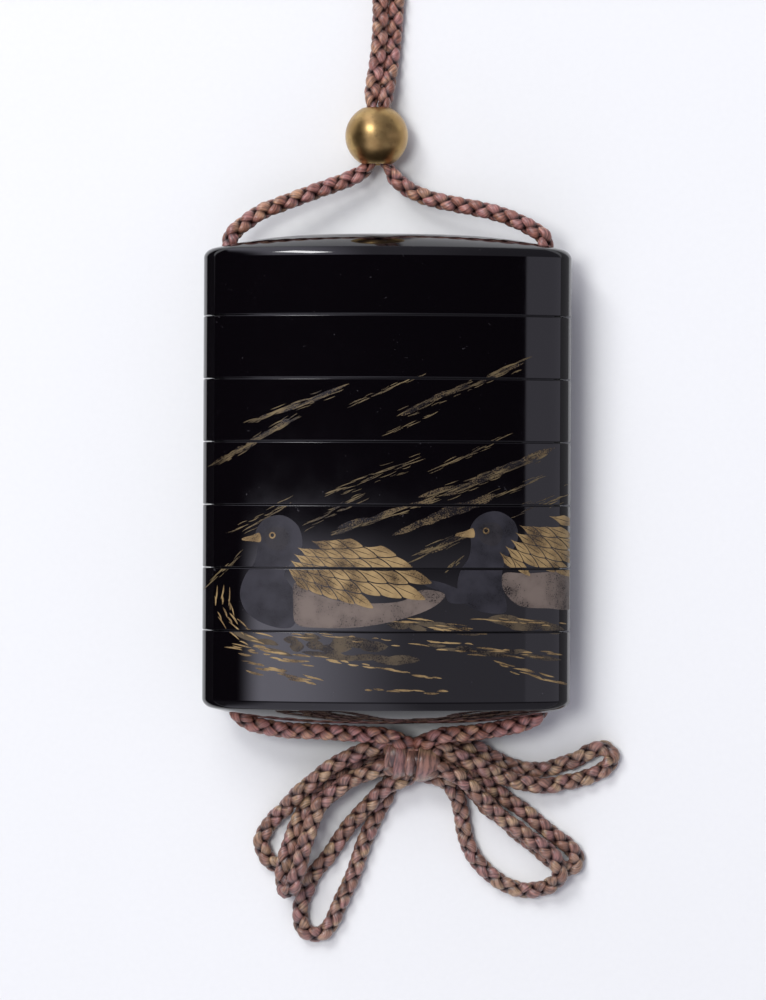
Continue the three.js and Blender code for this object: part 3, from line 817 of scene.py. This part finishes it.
LEFT_WING = [
    (-18.2, -16.6), (-15.0, -13.2), (-11.0, -11.4), (-6.0, -11.4), (-1.0, -12.8), (3.5, -15.4), (7.2, -18.6),
    (6.0, -20.8), (2.0, -22.0), (-4.0, -22.5), (-9.5, -21.9), (-14.0, -20.4), (-17.4, -18.9),
]
RIGHT_BODY = [
    (24.4, -10.6), (23.6, -7.8), (20.6, -6.0), (17.4, -6.7), (15.5, -9.0), (15.6, -12.0), (15.2, -14.6),
    (13.6, -17.2), (13.2, -20.6), (15.0, -23.4), (18.6, -24.8), (22.2, -24.6), (21.9, -21.2), (21.4, -17.8),
    (22.2, -14.8), (23.6, -12.8),
]
RIGHT_FLANK = [
    (22.0, -17.4), (26.0, -17.5), (31.0, -17.2), (35.4, -17.0), (35.4, -23.8), (30.0, -24.0), (25.0, -23.6),
    (22.2, -21.4), (21.4, -19.2),
]
RIGHT_WING = [
    (21.8, -16.6), (22.8, -13.2), (25.6, -9.8), (29.4, -7.9), (35.0, -7.3), (35.0, -16.6), (28.0, -17.1),
]
BEAK = [(0, 0.8), (-1.4, 0.35), (-3.0, -0.1), (-3.2, -0.55), (-1.6, -0.75), (0.2, -0.8)]
CHEEK = [(-2.4, 0.6), (-1.0, 1.7), (1.2, 1.7), (2.3, 0.2), (1.9, -1.6), (0.4, -2.5), (-1.4, -1.9), (-2.3, -0.6)]


def ring(x, y, radius, corners=18):
    return [(x + radius * math.cos(2 * math.pi * corner / corners),
             y + radius * math.sin(2 * math.pi * corner / corners)) for corner in range(corners)]


left_feathers, left_quills = feather_fan((-33, -5), LEFT_WING, nearest=16.5, half_length=0.098,
                                         half_angle=0.037)
right_feathers, right_quills = feather_fan((9, -1), RIGHT_WING, nearest=12, half_length=0.12,
                                           half_angle=0.045)
print("feathers:", len(left_feathers), "and", len(right_feathers))

# %% The current and the ripples, in millimetres
CURRENT = [
    ((-32, 2.4), (-16.5, 11.6), 16, 0.5, 0.34), ((-25.5, 10.4), (-8, 16.8), 13, 0.5, 0.3),
    ((-6.5, 13.4), (6.6, 19.4), 8, 0.25, 0.26), ((2.6, 11.8), (25.6, 21.8), 18, 0.6, 0.36),
    ((0, 8.2), (8, 11.6), 4, 0.2, 0.24), ((9, 1.6), (21.8, 7.6), 8, 0.35, 0.26),
    ((8, -3.6), (30, 5.2), 20, 0.75, 0.36), ((-11, -2.8), (5.6, 3.4), 17, 0.7, 0.2),
    ((-28, -9.8), (-18, -5), 10, 0.7, 0.24), ((-14.5, -8.2), (-4.5, -3.6), 12, 0.7, 0.24),
    ((-10, -10.4), (9.5, -3.8), 12, 0.3, 0.24), ((5, -14.6), (15, -10), 8, 0.6, 0.3),
    ((13.4, -5.8), (29, 0.6), 10, 0.4, 0.22), ((24, -6.4), (34, -2.4), 10, 0.7, 0.26),
    ((-33, -19.5), (-27.5, -14.2), 6, 0.4, 0.24), ((10.5, -17.6), (14, -14.6), 3, 0.3, 0.4),
]
RIPPLES = [
    ((-28.5, -31.4), (-14, -33.6), 20, 1.1, 0.4), ((-26, -35), (-12.5, -37.4), 18, 0.9, 0.42),
    ((-13, -33.2), (9.5, -36.8), 14, 0.3, 0.4), ((-5.5, -39), (12, -39.6), 7, 0.25, 0.42),
    ((-1, -25.6), (17, -28.4), 18, 0.9, 0.3), ((6, -30.6), (32, -33), 22, 1.1, 0.32),
    ((21, -34.6), (33.4, -38), 14, 0.9, 0.4), ((17, -25.8), (33, -27.4), 9, 0.6, 0.28),
    ((-20, -28.4), (2, -30.4), 12, 0.6, 0.24),
]
DUSTY_CURRENT = [
    ((-31, 3.2), (-17.5, 10.8), 7, 0.3, 1.3), ((4, 12.4), (23, 20.6), 8, 0.4, 1.1),
    ((-24, 11), (-10, 16), 5, 0.3, 0.9), ((9, -3), (28, 4.4), 9, 0.6, 1.6), ((3, -10), (18, -3.4), 8, 0.8, 1.8),
    ((-9, -9.6), (8, -4.2), 6, 0.5, 1.2), ((6, -14), (15, -10.4), 4, 0.5, 1.2),
]
DUSTY_WATER = [
    ((-19, -30.2), (-2, -31), 9, 0.9, 2.4), ((-14, -32.2), (4, -33.6), 7, 0.6, 1.6),
    ((1, -26.4), (15, -28.6), 7, 0.7, 1.5), ((20, -26.4), (33, -28), 6, 0.6, 2.0),
    ((-27, -29.4), (-19, -32), 5, 0.7, 1.4), ((8, -31), (30, -33), 8, 0.8, 1.2),
]
gold_strokes, worn_strokes, dust_strokes, water_strokes = [], [], [], []
for start, end, count, spread, width in CURRENT:
    worn_strokes += drift(start, end, count, spread, width)
    worn_strokes += drift(start, end, count, 2.2 * spread, 0.5 * width, longest=3)
for start, end, count, spread, width in RIPPLES:
    gold_strokes += drift(start, end, count, spread, width, longest=4.2)
for radius in (8.8, 10.2, 11.6):
    gold_strokes += ring_dashes((-20.5, -22.5), radius, 168, 262, 7, 0.32)
for start, end, count, spread, width in DUSTY_CURRENT:
    dust_strokes += drift(start, end, count, spread, width, longest=8)
for start, end, count, spread, width in DUSTY_WATER:
    water_strokes += drift(start, end, count, spread, width, longest=9)
print("strokes:", [len(strokes) for strokes in (gold_strokes, worn_strokes, dust_strokes, water_strokes)])

# %% [markdown]
# The layers lie over each other a few thousandths of a millimetre apart: dust first, then the bodies,
# and the feathers, quills and eyes on top. Upright cuts, closer together where the case turns away at its
# sides, let the flat shapes follow its curve.

# %% Lay a flat shape on the case
def front_height(x):
    """The height of the front of the case, from its two arcs."""
    x = abs(x)
    if x < FACE_RADIUS * math.cos(JOIN_ANGLE):
        return MIDDLE - FACE_CENTRE + math.sqrt(FACE_RADIUS ** 2 - x * x)
    return MIDDLE + math.sqrt(max(0, SIDE_RADIUS ** 2 - (x - SIDE_CENTRE) ** 2))


def front_normal(x):
    centre = (0, MIDDLE - FACE_CENTRE)
    if abs(x) >= FACE_RADIUS * math.cos(JOIN_ANGLE):
        centre = (math.copysign(SIDE_CENTRE, x), MIDDLE)
    return Vector((x - centre[0], 0, front_height(x) - centre[1])).normalized()


WIDE_CUTS = [1.5 * step for step in range(20)]
TIGHT_CUTS = [29.2 + 0.36 * step for step in range(15)]


def slice_for_curve(sheet):
    """Cuts a flat shape along upright lines, and trims it at the last of them."""
    pick(sheet)
    bpy.ops.object.mode_set(mode="EDIT")
    for x in WIDE_CUTS + TIGHT_CUTS:
        for way in (-1, 1):
            bpy.ops.mesh.select_all(action="SELECT")
            bpy.ops.mesh.bisect(plane_co=(way * x, 0, 0), plane_no=(way, 0, 0), threshold=CUT_THRESHOLD,
                                clear_outer=x == TIGHT_CUTS[-1])
    bpy.ops.object.mode_set(mode="OBJECT")


def lay_on_front(sheet, lift):
    """Sets the height of each point, so the flat shape lies on the case."""
    for vertex in sheet.data.vertices:
        x, y = vertex.co.x, vertex.co.y
        place = Vector((x, y, front_height(x))) + front_normal(x) * (lift + vertex.co.z)
        vertex.co = place * MM


def between_seams(sheet, low, high):
    """A copy of a sheet, cut off at two seams."""
    pick(sheet)
    bpy.ops.object.duplicate()
    part = bpy.context.object
    bpy.ops.object.mode_set(mode="EDIT")
    for level, way in ((low, -1), (high, 1)):
        bpy.ops.mesh.select_all(action="SELECT")
        bpy.ops.mesh.bisect(plane_co=(0, level, 0), plane_no=(0, way, 0), clear_outer=True,
                            threshold=CUT_THRESHOLD)
    bpy.ops.object.mode_set(mode="OBJECT")
    return part


# %% The layers of the picture
gold, gold_dust = bpy.data.materials.new("gold_powder"), bpy.data.materials.new("thin_gold_dust")
worn_gold = bpy.data.materials.new("worn_gold_powder")
slate, pale_slate = bpy.data.materials.new("charcoal_powder"), bpy.data.materials.new("pale_charcoal_powder")
flank, water = bpy.data.materials.new("silver_brown_powder"), bpy.data.materials.new("thin_silver_dust")
ink = bpy.data.materials.new("black_line")
LAYERS = [
    (filled("dust", dust_strokes), gold_dust, 0.010), (filled("water", water_strokes), water, 0.012),
    (filled("current", worn_strokes), worn_gold, 0.018), (filled("ripples", gold_strokes), gold, 0.020),
    (filled("bodies", [rounded(LEFT_BODY), rounded(LEFT_TAIL), rounded(RIGHT_BODY)]), slate, 0.026),
    (filled("cheeks", [moved(rounded(CHEEK), -20.4, -10.9), moved(rounded(CHEEK), 19.2, -9.9)]), pale_slate, 0.030),
    (filled("flanks", [rounded(LEFT_FLANK), rounded(RIGHT_FLANK)]), flank, 0.032),
    (filled("beaks", [moved(rounded(BEAK), -23.6, -11.0), moved(rounded(BEAK), 16.0, -10.0)]), gold, 0.034),
    (filled("feathers", left_feathers + right_feathers), gold, 0.038),
    (filled("quills", left_quills + right_quills), ink, 0.044),
    (filled("eye_rims", [ring(-21.2, -10.6, 0.62), ring(18.4, -9.6, 0.62)]), gold, 0.036),
    (filled("eyes", [ring(-21.2, -10.6, 0.34), ring(18.4, -9.6, 0.34)]), ink, 0.042),
]
for sheet, finish, _ in LAYERS:
    sheet.data.materials.append(finish)
    slice_for_curve(sheet)

# %% Cut the layers at the seams, and thicken them
TIERS = [("middle_case_2", 6.9, 18.53), ("middle_case_1", 18.65, 30.28), ("middle_case_3", -4.85, 6.78),
         ("middle_case_4", -16.6, -4.97), ("middle_case_5", -28.35, -16.72), ("bottom_case", -42, -28.47)]
POWDER_DEPTH = 0.05
for node, low, high in TIERS:
    parts = []
    for sheet, _, lift in LAYERS:
        part = between_seams(sheet, low + EDGE, high - EDGE)
        if not part.data.polygons:
            bpy.data.objects.remove(part)
            continue
        lay_on_front(part, lift)
        parts.append(part)
    clear_selection()
    for part in parts:
        part.select_set(True)
    bpy.context.view_layer.objects.active = parts[0]
    if len(parts) > 1:
        bpy.ops.object.join()
    picture = bpy.context.object
    picture.name = "picture_on_" + node
    thickness = picture.modifiers.new("powder", "SOLIDIFY")
    thickness.thickness, thickness.offset = POWDER_DEPTH * MM, -1
    bpy.ops.object.modifier_apply(modifier=thickness.name)
    bpy.ops.object.shade_smooth_by_angle(angle=math.radians(35))
    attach(picture, "root")
    print(picture.name, len(picture.data.polygons), "faces")
for sheet, _, _ in LAYERS:
    bpy.data.objects.remove(sheet)

# %% [markdown]
# ## Finishes
# Every finish is built from nodes, so it has grain at any distance. Effects that several finishes share
# are node groups with named inputs, such as the fine grain of powder and of patina.

# %% Node helpers
def add_node(tree, kind, **values):
    """Adds a node. A value that is a socket is linked, and any other is set."""
    made = tree.nodes.new(kind)
    for name, value in values.items():
        wanted = made.inputs[name.replace("_", " ")]
        if isinstance(value, bpy.types.NodeSocket):
            tree.links.new(value, wanted)
        else:
            wanted.default_value = value
    return made


def arithmetic(tree, operation, *values):
    made = tree.nodes.new("ShaderNodeMath")
    made.operation = operation
    for socket, value in zip(made.inputs, values):
        if isinstance(value, bpy.types.NodeSocket):
            tree.links.new(value, socket)
        else:
            socket.default_value = value
    return made.outputs[0]


def mixed(tree, share, first, second, blend="MIX"):
    made = tree.nodes.new("ShaderNodeMix")
    made.data_type, made.blend_type = "RGBA", blend
    for socket, value in ((made.inputs[0], share), (made.inputs[6], first), (made.inputs[7], second)):
        if isinstance(value, bpy.types.NodeSocket):
            tree.links.new(value, socket)
        else:
            socket.default_value = value
    return made.outputs[2]


def ranged(tree, value, low, high, to_low=0.0, to_high=1.0):
    made = add_node(tree, "ShaderNodeMapRange", Value=value, From_Min=low, From_Max=high, To_Min=to_low,
                    To_Max=to_high)
    made.interpolation_type = "SMOOTHSTEP"
    return made.outputs[0]


def new_group(name, inputs, outputs):
    group = bpy.data.node_groups.new(name, "ShaderNodeTree")
    for socket_name, kind, value in inputs:
        group.interface.new_socket(name=socket_name, in_out="INPUT", socket_type=kind).default_value = value
    for socket_name, kind in outputs:
        group.interface.new_socket(name=socket_name, in_out="OUTPUT", socket_type=kind)
    return group, group.nodes.new("NodeGroupInput").outputs, group.nodes.new("NodeGroupOutput").inputs


def use_group(tree, group, **values):
    made = tree.nodes.new("ShaderNodeGroup")
    made.node_tree = group
    for name, value in values.items():
        made.inputs[name.replace("_", " ")].default_value = value
    return made.outputs


def shader_of(material):
    material.use_nodes = True
    return material.node_tree, material.node_tree.nodes["Principled BSDF"]


# %% Grain group: a fine speckle on object coordinates
FLOAT, COLOR = "NodeSocketFloat", "NodeSocketColor"
grain, grain_in, grain_out = new_group("powder_grain", [("Scale", FLOAT, 8000.0), ("Amount", FLOAT, 0.5)],
                                       [("Speckle", FLOAT), ("Cloud", FLOAT)])
place = grain.nodes.new("ShaderNodeTexCoord").outputs["Object"]
fine = add_node(grain, "ShaderNodeTexNoise", Vector=place, Scale=grain_in["Scale"], Detail=2.0).outputs["Fac"]
broad = add_node(grain, "ShaderNodeTexNoise", Vector=place, Scale=260.0, Detail=4.0).outputs["Fac"]
unevenness = arithmetic(grain, "MULTIPLY", arithmetic(grain, "SUBTRACT", broad, 0.5), 0.7)
cover = arithmetic(grain, "ADD", fine, unevenness)
edge_low = arithmetic(grain, "SUBTRACT", 0.98, grain_in["Amount"])
speckle = add_node(grain, "ShaderNodeMapRange", Value=cover, From_Min=edge_low,
                   From_Max=arithmetic(grain, "ADD", edge_low, 0.07)).outputs[0]
grain.links.new(speckle, grain_out["Speckle"])
grain.links.new(broad, grain_out["Cloud"])
print("group:", grain.name)

# %% [markdown]
# The lacquer is a deep black with a hard polish. What makes it look like lacquer is what it mirrors, so
# it stays very smooth, with a trace of haze from handling and a few specks of dust.

# %% Black lacquer
lacquer = bpy.data.materials.new("black_lacquer")
tree, shader = shader_of(lacquer)
specks = use_group(tree, grain, Scale=1900.0, Amount=0.19)
haze = ranged(tree, specks["Cloud"], 0.35, 0.7, 0.04, 0.055)
color = mixed(tree, specks["Speckle"], (0.0022, 0.0016, 0.0024, 1), (0.045, 0.042, 0.046, 1))
tree.links.new(color, shader.inputs["Base Color"])
tree.links.new(haze, shader.inputs["Roughness"])
shader.inputs["IOR"].default_value = 1.52
for section in sections + [lid, base]:
    section.data.materials.clear()
    section.data.materials.append(lacquer)
print(lacquer.name, "on", len(sections) + 2, "sections")


# %% [markdown]
# Sprinkled powder lets the black show between its grains. The same group gives the speckle of each
# powder, and only its cover and its colours change.

# %% Powders
def powder(material, amount, light, dark, metallic, roughness, scale=9000.0):
    """Grains of a light and a dark shade over black lacquer. amount is how much of it they cover."""
    tree, shader = shader_of(material)
    grains = use_group(tree, grain, Scale=scale, Amount=amount)
    shade = mixed(tree, ranged(tree, grains["Cloud"], 0.3, 0.7), dark, light)
    color = mixed(tree, grains["Speckle"], (0.004, 0.003, 0.004, 1), shade)
    tree.links.new(color, shader.inputs["Base Color"])
    tree.links.new(arithmetic(tree, "MULTIPLY", grains["Speckle"], metallic), shader.inputs["Metallic"])
    tree.links.new(ranged(tree, grains["Speckle"], 0, 1, 0.2, roughness), shader.inputs["Roughness"])


# The finish, how much it covers, its light and dark grains, how metallic and how rough they are, their scale.
powder(gold, 0.64, (0.39, 0.27, 0.12, 1), (0.175, 0.112, 0.046, 1), 0.25, 0.5)
powder(worn_gold, 0.60, (0.175, 0.130, 0.062, 1), (0.070, 0.050, 0.025, 1), 0.25, 0.5)
powder(gold_dust, 0.47, (0.15, 0.105, 0.05, 1), (0.07, 0.048, 0.026, 1), 0.3, 0.5, 5000.0)
powder(slate, 0.72, (0.029, 0.028, 0.035, 1), (0.012, 0.0115, 0.015, 1), 0.1, 0.36)
powder(pale_slate, 0.70, (0.030, 0.027, 0.030, 1), (0.014, 0.013, 0.015, 1), 0.1, 0.38)
powder(flank, 0.66, (0.165, 0.130, 0.108, 1), (0.095, 0.073, 0.060, 1), 0.1, 0.5, 5000.0)
powder(water, 0.57, (0.098, 0.074, 0.044, 1), (0.042, 0.031, 0.02, 1), 0.2, 0.45, 6000.0)
ink_shader = shader_of(ink)[1]
ink_shader.inputs["Base Color"].default_value = (0.006, 0.005, 0.005, 1)
ink_shader.inputs["Roughness"].default_value = 0.25
print("powders:", [material.name for material in (gold, worn_gold, gold_dust, slate, pale_slate, flank, water)])

# %% [markdown]
# The bead is bronze, polished by hands and dulled by age: a warm satin metal with a mottled patina.

# %% Bronze
bronze = bpy.data.materials.new("satin_bronze")
tree, shader = shader_of(bronze)
patina = use_group(tree, grain, Scale=700.0, Amount=0.42)
color = mixed(tree, ranged(tree, patina["Cloud"], 0.3, 0.7), (0.40, 0.255, 0.10, 1), (0.56, 0.385, 0.155, 1))
color = mixed(tree, arithmetic(tree, "MULTIPLY", patina["Speckle"], 0.25), color, (0.20, 0.12, 0.06, 1))
tree.links.new(color, shader.inputs["Base Color"])
tree.links.new(ranged(tree, patina["Cloud"], 0.3, 0.7, 0.36, 0.30), shader.inputs["Roughness"])
shader.inputs["Metallic"].default_value = 1.0
bead.data.materials.clear()
bead.data.materials.append(bronze)
print(bronze.name, "on", bead.name)

# %% [markdown]
# The yarns are silk. Fine fibres run along each yarn, its dye has faded to tan on some leaves and kept
# its mauve on others, and shade is painted into the hollows between the yarns as a near-black colour.
# The cord's own map says where a point is along its yarn and round it, and a stored value says how deep in
# a hollow it lies, which sets how much painted shade it gets.

# %% Silk
silk_yarn, yarn_in, yarn_out = new_group(
    "silk_yarn", [("Brown", COLOR, (0.3, 0.17, 0.12, 1)), ("Mauve", COLOR, (0.36, 0.2, 0.19, 1)),
                  ("Tan", COLOR, (0.5, 0.34, 0.2, 1)), ("Hollow", COLOR, (0.03, 0.012, 0.01, 1))],
    [("Color", COLOR), ("Fibres", FLOAT)])
yarn_map = silk_yarn.nodes.new("ShaderNodeUVMap")
yarn_map.uv_map = "yarn"
parts = add_node(silk_yarn, "ShaderNodeSeparateXYZ", Vector=yarn_map.outputs[0]).outputs
yarn_number = arithmetic(silk_yarn, "FLOOR", parts[1])
slow = add_node(silk_yarn, "ShaderNodeCombineXYZ", X=arithmetic(silk_yarn, "MULTIPLY", parts[0], 1.3),
                Y=arithmetic(silk_yarn, "MULTIPLY", yarn_number, 7.3)).outputs[0]
dye = add_node(silk_yarn, "ShaderNodeTexNoise", Vector=slow, Scale=1.0, Detail=2.0).outputs["Fac"]
fade = add_node(silk_yarn, "ShaderNodeTexNoise", Vector=slow, Scale=2.3, Detail=1.0).outputs["Fac"]
along = add_node(silk_yarn, "ShaderNodeCombineXYZ", X=arithmetic(silk_yarn, "MULTIPLY", parts[0], 3.0),
                 Y=arithmetic(silk_yarn, "MULTIPLY", parts[1], 15.0)).outputs[0]
fibres = add_node(silk_yarn, "ShaderNodeTexNoise", Vector=along, Scale=1.0, Detail=3.0,
                  Roughness=0.65).outputs["Fac"]
color = mixed(silk_yarn, ranged(silk_yarn, dye, 0.42, 0.58), yarn_in["Brown"], yarn_in["Mauve"])
color = mixed(silk_yarn, ranged(silk_yarn, fade, 0.48, 0.72), color, yarn_in["Tan"])
streak = ranged(silk_yarn, fibres, 0.32, 0.68, 0.42, 1.6)
streaks = add_node(silk_yarn, "ShaderNodeCombineColor", Red=streak, Green=streak, Blue=streak).outputs[0]
color = mixed(silk_yarn, 1.0, color, streaks, "MULTIPLY")
# Painted shade: the deeper a point lies in a hollow between yarns, the nearer its colour is painted to a
# near-black.
depth = silk_yarn.nodes.new("ShaderNodeAttribute")
depth.attribute_name = "hollow"
color = mixed(silk_yarn, ranged(silk_yarn, depth.outputs["Fac"], 0.02, 0.8), color, yarn_in["Hollow"])
silk_yarn.links.new(color, yarn_out["Color"])
silk_yarn.links.new(fibres, yarn_out["Fibres"])


def silk(name, brown, mauve, tan, hollow):
    """A silk of three shades that come and go along the yarns, with shade painted into the hollows in the last
    colour.
    """
    material = bpy.data.materials.new(name)
    tree, shader = shader_of(material)
    yarn = use_group(tree, silk_yarn, Brown=brown, Mauve=mauve, Tan=tan, Hollow=hollow)
    tree.links.new(yarn["Color"], shader.inputs["Base Color"])
    bump = add_node(tree, "ShaderNodeBump", Height=yarn["Fibres"], Strength=0.8, Distance=0.2 * MM)
    tree.links.new(bump.outputs[0], shader.inputs["Normal"])
    shader.inputs["Roughness"].default_value = 0.33
    shader.inputs["Specular IOR Level"].default_value = 0.95
    return material


# The last colour of each silk is the near-black painted shade of its hollows.
bow_silk = silk("faded_silk", (0.200, 0.103, 0.070, 1), (0.240, 0.118, 0.103, 1), (0.33, 0.218, 0.128, 1),
                (0.020, 0.008, 0.008, 1))
carrying_silk = silk("brown_silk", (0.225, 0.090, 0.060, 1), (0.30, 0.130, 0.115, 1), (0.39, 0.215, 0.125, 1),
                     (0.018, 0.005, 0.004, 1))
for piece, material in ((carrying_cord, carrying_silk), (left_bow, bow_silk), (right_bow, bow_silk),
                        (knot_wraps, bow_silk)):
    piece.data.materials.clear()
    piece.data.materials.append(material)
print("silks:", bow_silk.name, "and", carrying_silk.name)


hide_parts("bottom_left_run", "bottom_right_run", "top_left_run", "top_right_run",
            "cord_in_left_channel", "cord_in_right_channel", "cord_left_in_bead", "cord_right_in_bead",
            "carrying_loop")
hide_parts("bow_loop_upper_left", "bow_loop_middle_left", "bow_loop_lower_left")
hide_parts("bow_loop_upper_right", "bow_loop_middle_right", "bow_loop_lower_right")
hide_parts("knot")
print("cord, mm:", [round((len(line) - 1) * STEP / MM) for line in (carrying_line, left_bow_line, right_bow_line)])

# %% [markdown]
# ## Paper and light
# The object lies on white paper under three soft lights. The key, narrow from the upper left, draws the
# bright lines on the shoulder and in the seams. A wide one above the head of the case and one nearly
# overhead fill the shadows, and no surface mirrors those two. Black lacquer shows the studio more than
# itself: the dark above the case keeps its front black, a pale wall on the right makes the grey band along
# that side, and a window low on the left makes the haze over the lower sections. Two cards lie on the
# paper beside the case, as in a studio. Only what is glossy mirrors them, so the edges of the case stay
# dark.

# %% Paper
clear_selection()
bpy.ops.mesh.primitive_plane_add(size=3, location=(0, 0, -0.02 * MM))
paper = bpy.context.object
paper.name = "paper"
paper_finish = bpy.data.materials.new("white_paper")
tree, shader = shader_of(paper_finish)
fibre_noise = add_node(tree, "ShaderNodeTexNoise", Vector=tree.nodes.new("ShaderNodeTexCoord").outputs["Object"],
                       Scale=900.0, Detail=3.0).outputs["Fac"]
tree.links.new(mixed(tree, fibre_noise, (0.801, 0.816, 0.805, 1), (0.826, 0.841, 0.830, 1)),
               shader.inputs["Base Color"])
shader.inputs["Roughness"].default_value = 0.9
paper.data.materials.append(paper_finish)
print(paper.name, "of", round(paper.dimensions.x, 2), "m")

# %% Cards beside the case
CARD_Y, CARD_WIDTH, CARD_OUTER = -0.10, 0.36, 1.45
for name, inner, outer, shade in (("black_card", -0.052, -CARD_OUTER, 0.002),
                                  ("grey_card", 0.050, CARD_OUTER, 0.25)):
    clear_selection()
    bpy.ops.mesh.primitive_plane_add(size=1, location=((inner + outer) / 2, CARD_Y, 0.1 * MM))
    card = bpy.context.object
    card.name = name
    bpy.ops.transform.resize(value=(abs(outer - inner), CARD_WIDTH, 1), center_override=card.location)
    card.visible_camera = card.visible_diffuse = card.visible_shadow = False
    card_finish = bpy.data.materials.new(name)
    tree, shader = shader_of(card_finish)
    cloth = add_node(tree, "ShaderNodeTexNoise", Vector=tree.nodes.new("ShaderNodeTexCoord").outputs["Object"],
                     Scale=50.0).outputs["Fac"]
    tree.links.new(mixed(tree, cloth, (shade, shade, shade, 1), (0.9 * shade, 0.9 * shade, 0.9 * shade, 1)),
                   shader.inputs["Base Color"])
    shader.inputs["Roughness"].default_value = 0.9
    card.data.materials.append(card_finish)
    print(card.name, "from x =", inner, "m")

# %% Soft lights
LIGHT_DISTANCE = 1.5


def soft_light(name, direction, size, power):
    """A rectangular light in a direction from the object, turned to face it."""
    light = bpy.data.lights.new(name, "AREA")
    light.shape, light.energy = "RECTANGLE", power
    light.size, light.size_y = size
    lamp = bpy.data.objects.new(name, light)
    lamp.location = LIGHT_DISTANCE * Vector(direction).normalized()
    lamp.rotation_euler = lamp.location.to_track_quat("Z", "Y").to_euler()
    scene.collection.objects.link(lamp)
    return lamp


for lamp in (soft_light("high_light", (-0.20, 0.62, 0.75), (0.6, 0.5), 3.7),
             soft_light("top_light", (-0.25, 0.08, 0.96), (0.34, 0.34), 8.7)):
    lamp.visible_glossy = False
soft_light("key", (-0.40, 0.45, 0.80), (0.22, 0.44), 5.3)

# %% [markdown]
# The room is a brightness for each direction. x and y are how far a direction points to the right and
# towards the head of the case. A narrow band across the middle holds the pale wall and the window, and
# the rest of the room, behind and before that band, is dim.

# %% The room, as brightness by direction
world = bpy.data.worlds.new("studio")
world.use_nodes = True
scene.world = world
tree = world.node_tree
look = add_node(tree, "ShaderNodeSeparateXYZ", Vector=tree.nodes.new("ShaderNodeTexCoord").outputs["Generated"])
x, y = look.outputs[0], look.outputs[1]


def product(*values):
    """All values multiplied together."""
    whole = values[0]
    for value in values[1:]:
        whole = arithmetic(tree, "MULTIPLY", whole, value)
    return whole


wall = ranged(tree, x, 0.652, 0.662, 0.0, 0.72)
window = product(ranged(tree, y, -0.024, -0.001, 1, 0), ranged(tree, x, -0.55, 0.15, 2.55, 0.5),
                 ranged(tree, x, -0.70, -0.59))
behind = product(ranged(tree, x, -0.68, -0.52), ranged(tree, x, -0.42, -0.05, 1.6, 0.38),
                 ranged(tree, x, 0.1, 0.5, 1, 0.6))
before = product(ranged(tree, x, -0.68, -0.5, 0.1, 1), ranged(tree, x, -0.1, 0.2, 0.92, 0.36),
                 ranged(tree, y, -0.32, -0.22, 1, 0.3))
room = mixed(tree, ranged(tree, y, -0.01, 0.01), before, behind)
off_middle = arithmetic(tree, "ABSOLUTE", y)
glow = mixed(tree, ranged(tree, off_middle, 0.075, 0.12), arithmetic(tree, "MAXIMUM", window, wall), room)
cool_tint = (0.98, 0.955, 1.13, 1)
glow = mixed(tree, 1.0, glow, cool_tint, "MULTIPLY")
tree.links.new(glow, tree.nodes["Background"].inputs["Color"])
print("lights:", len(bpy.data.lights), "and a room of", len(tree.nodes), "nodes")
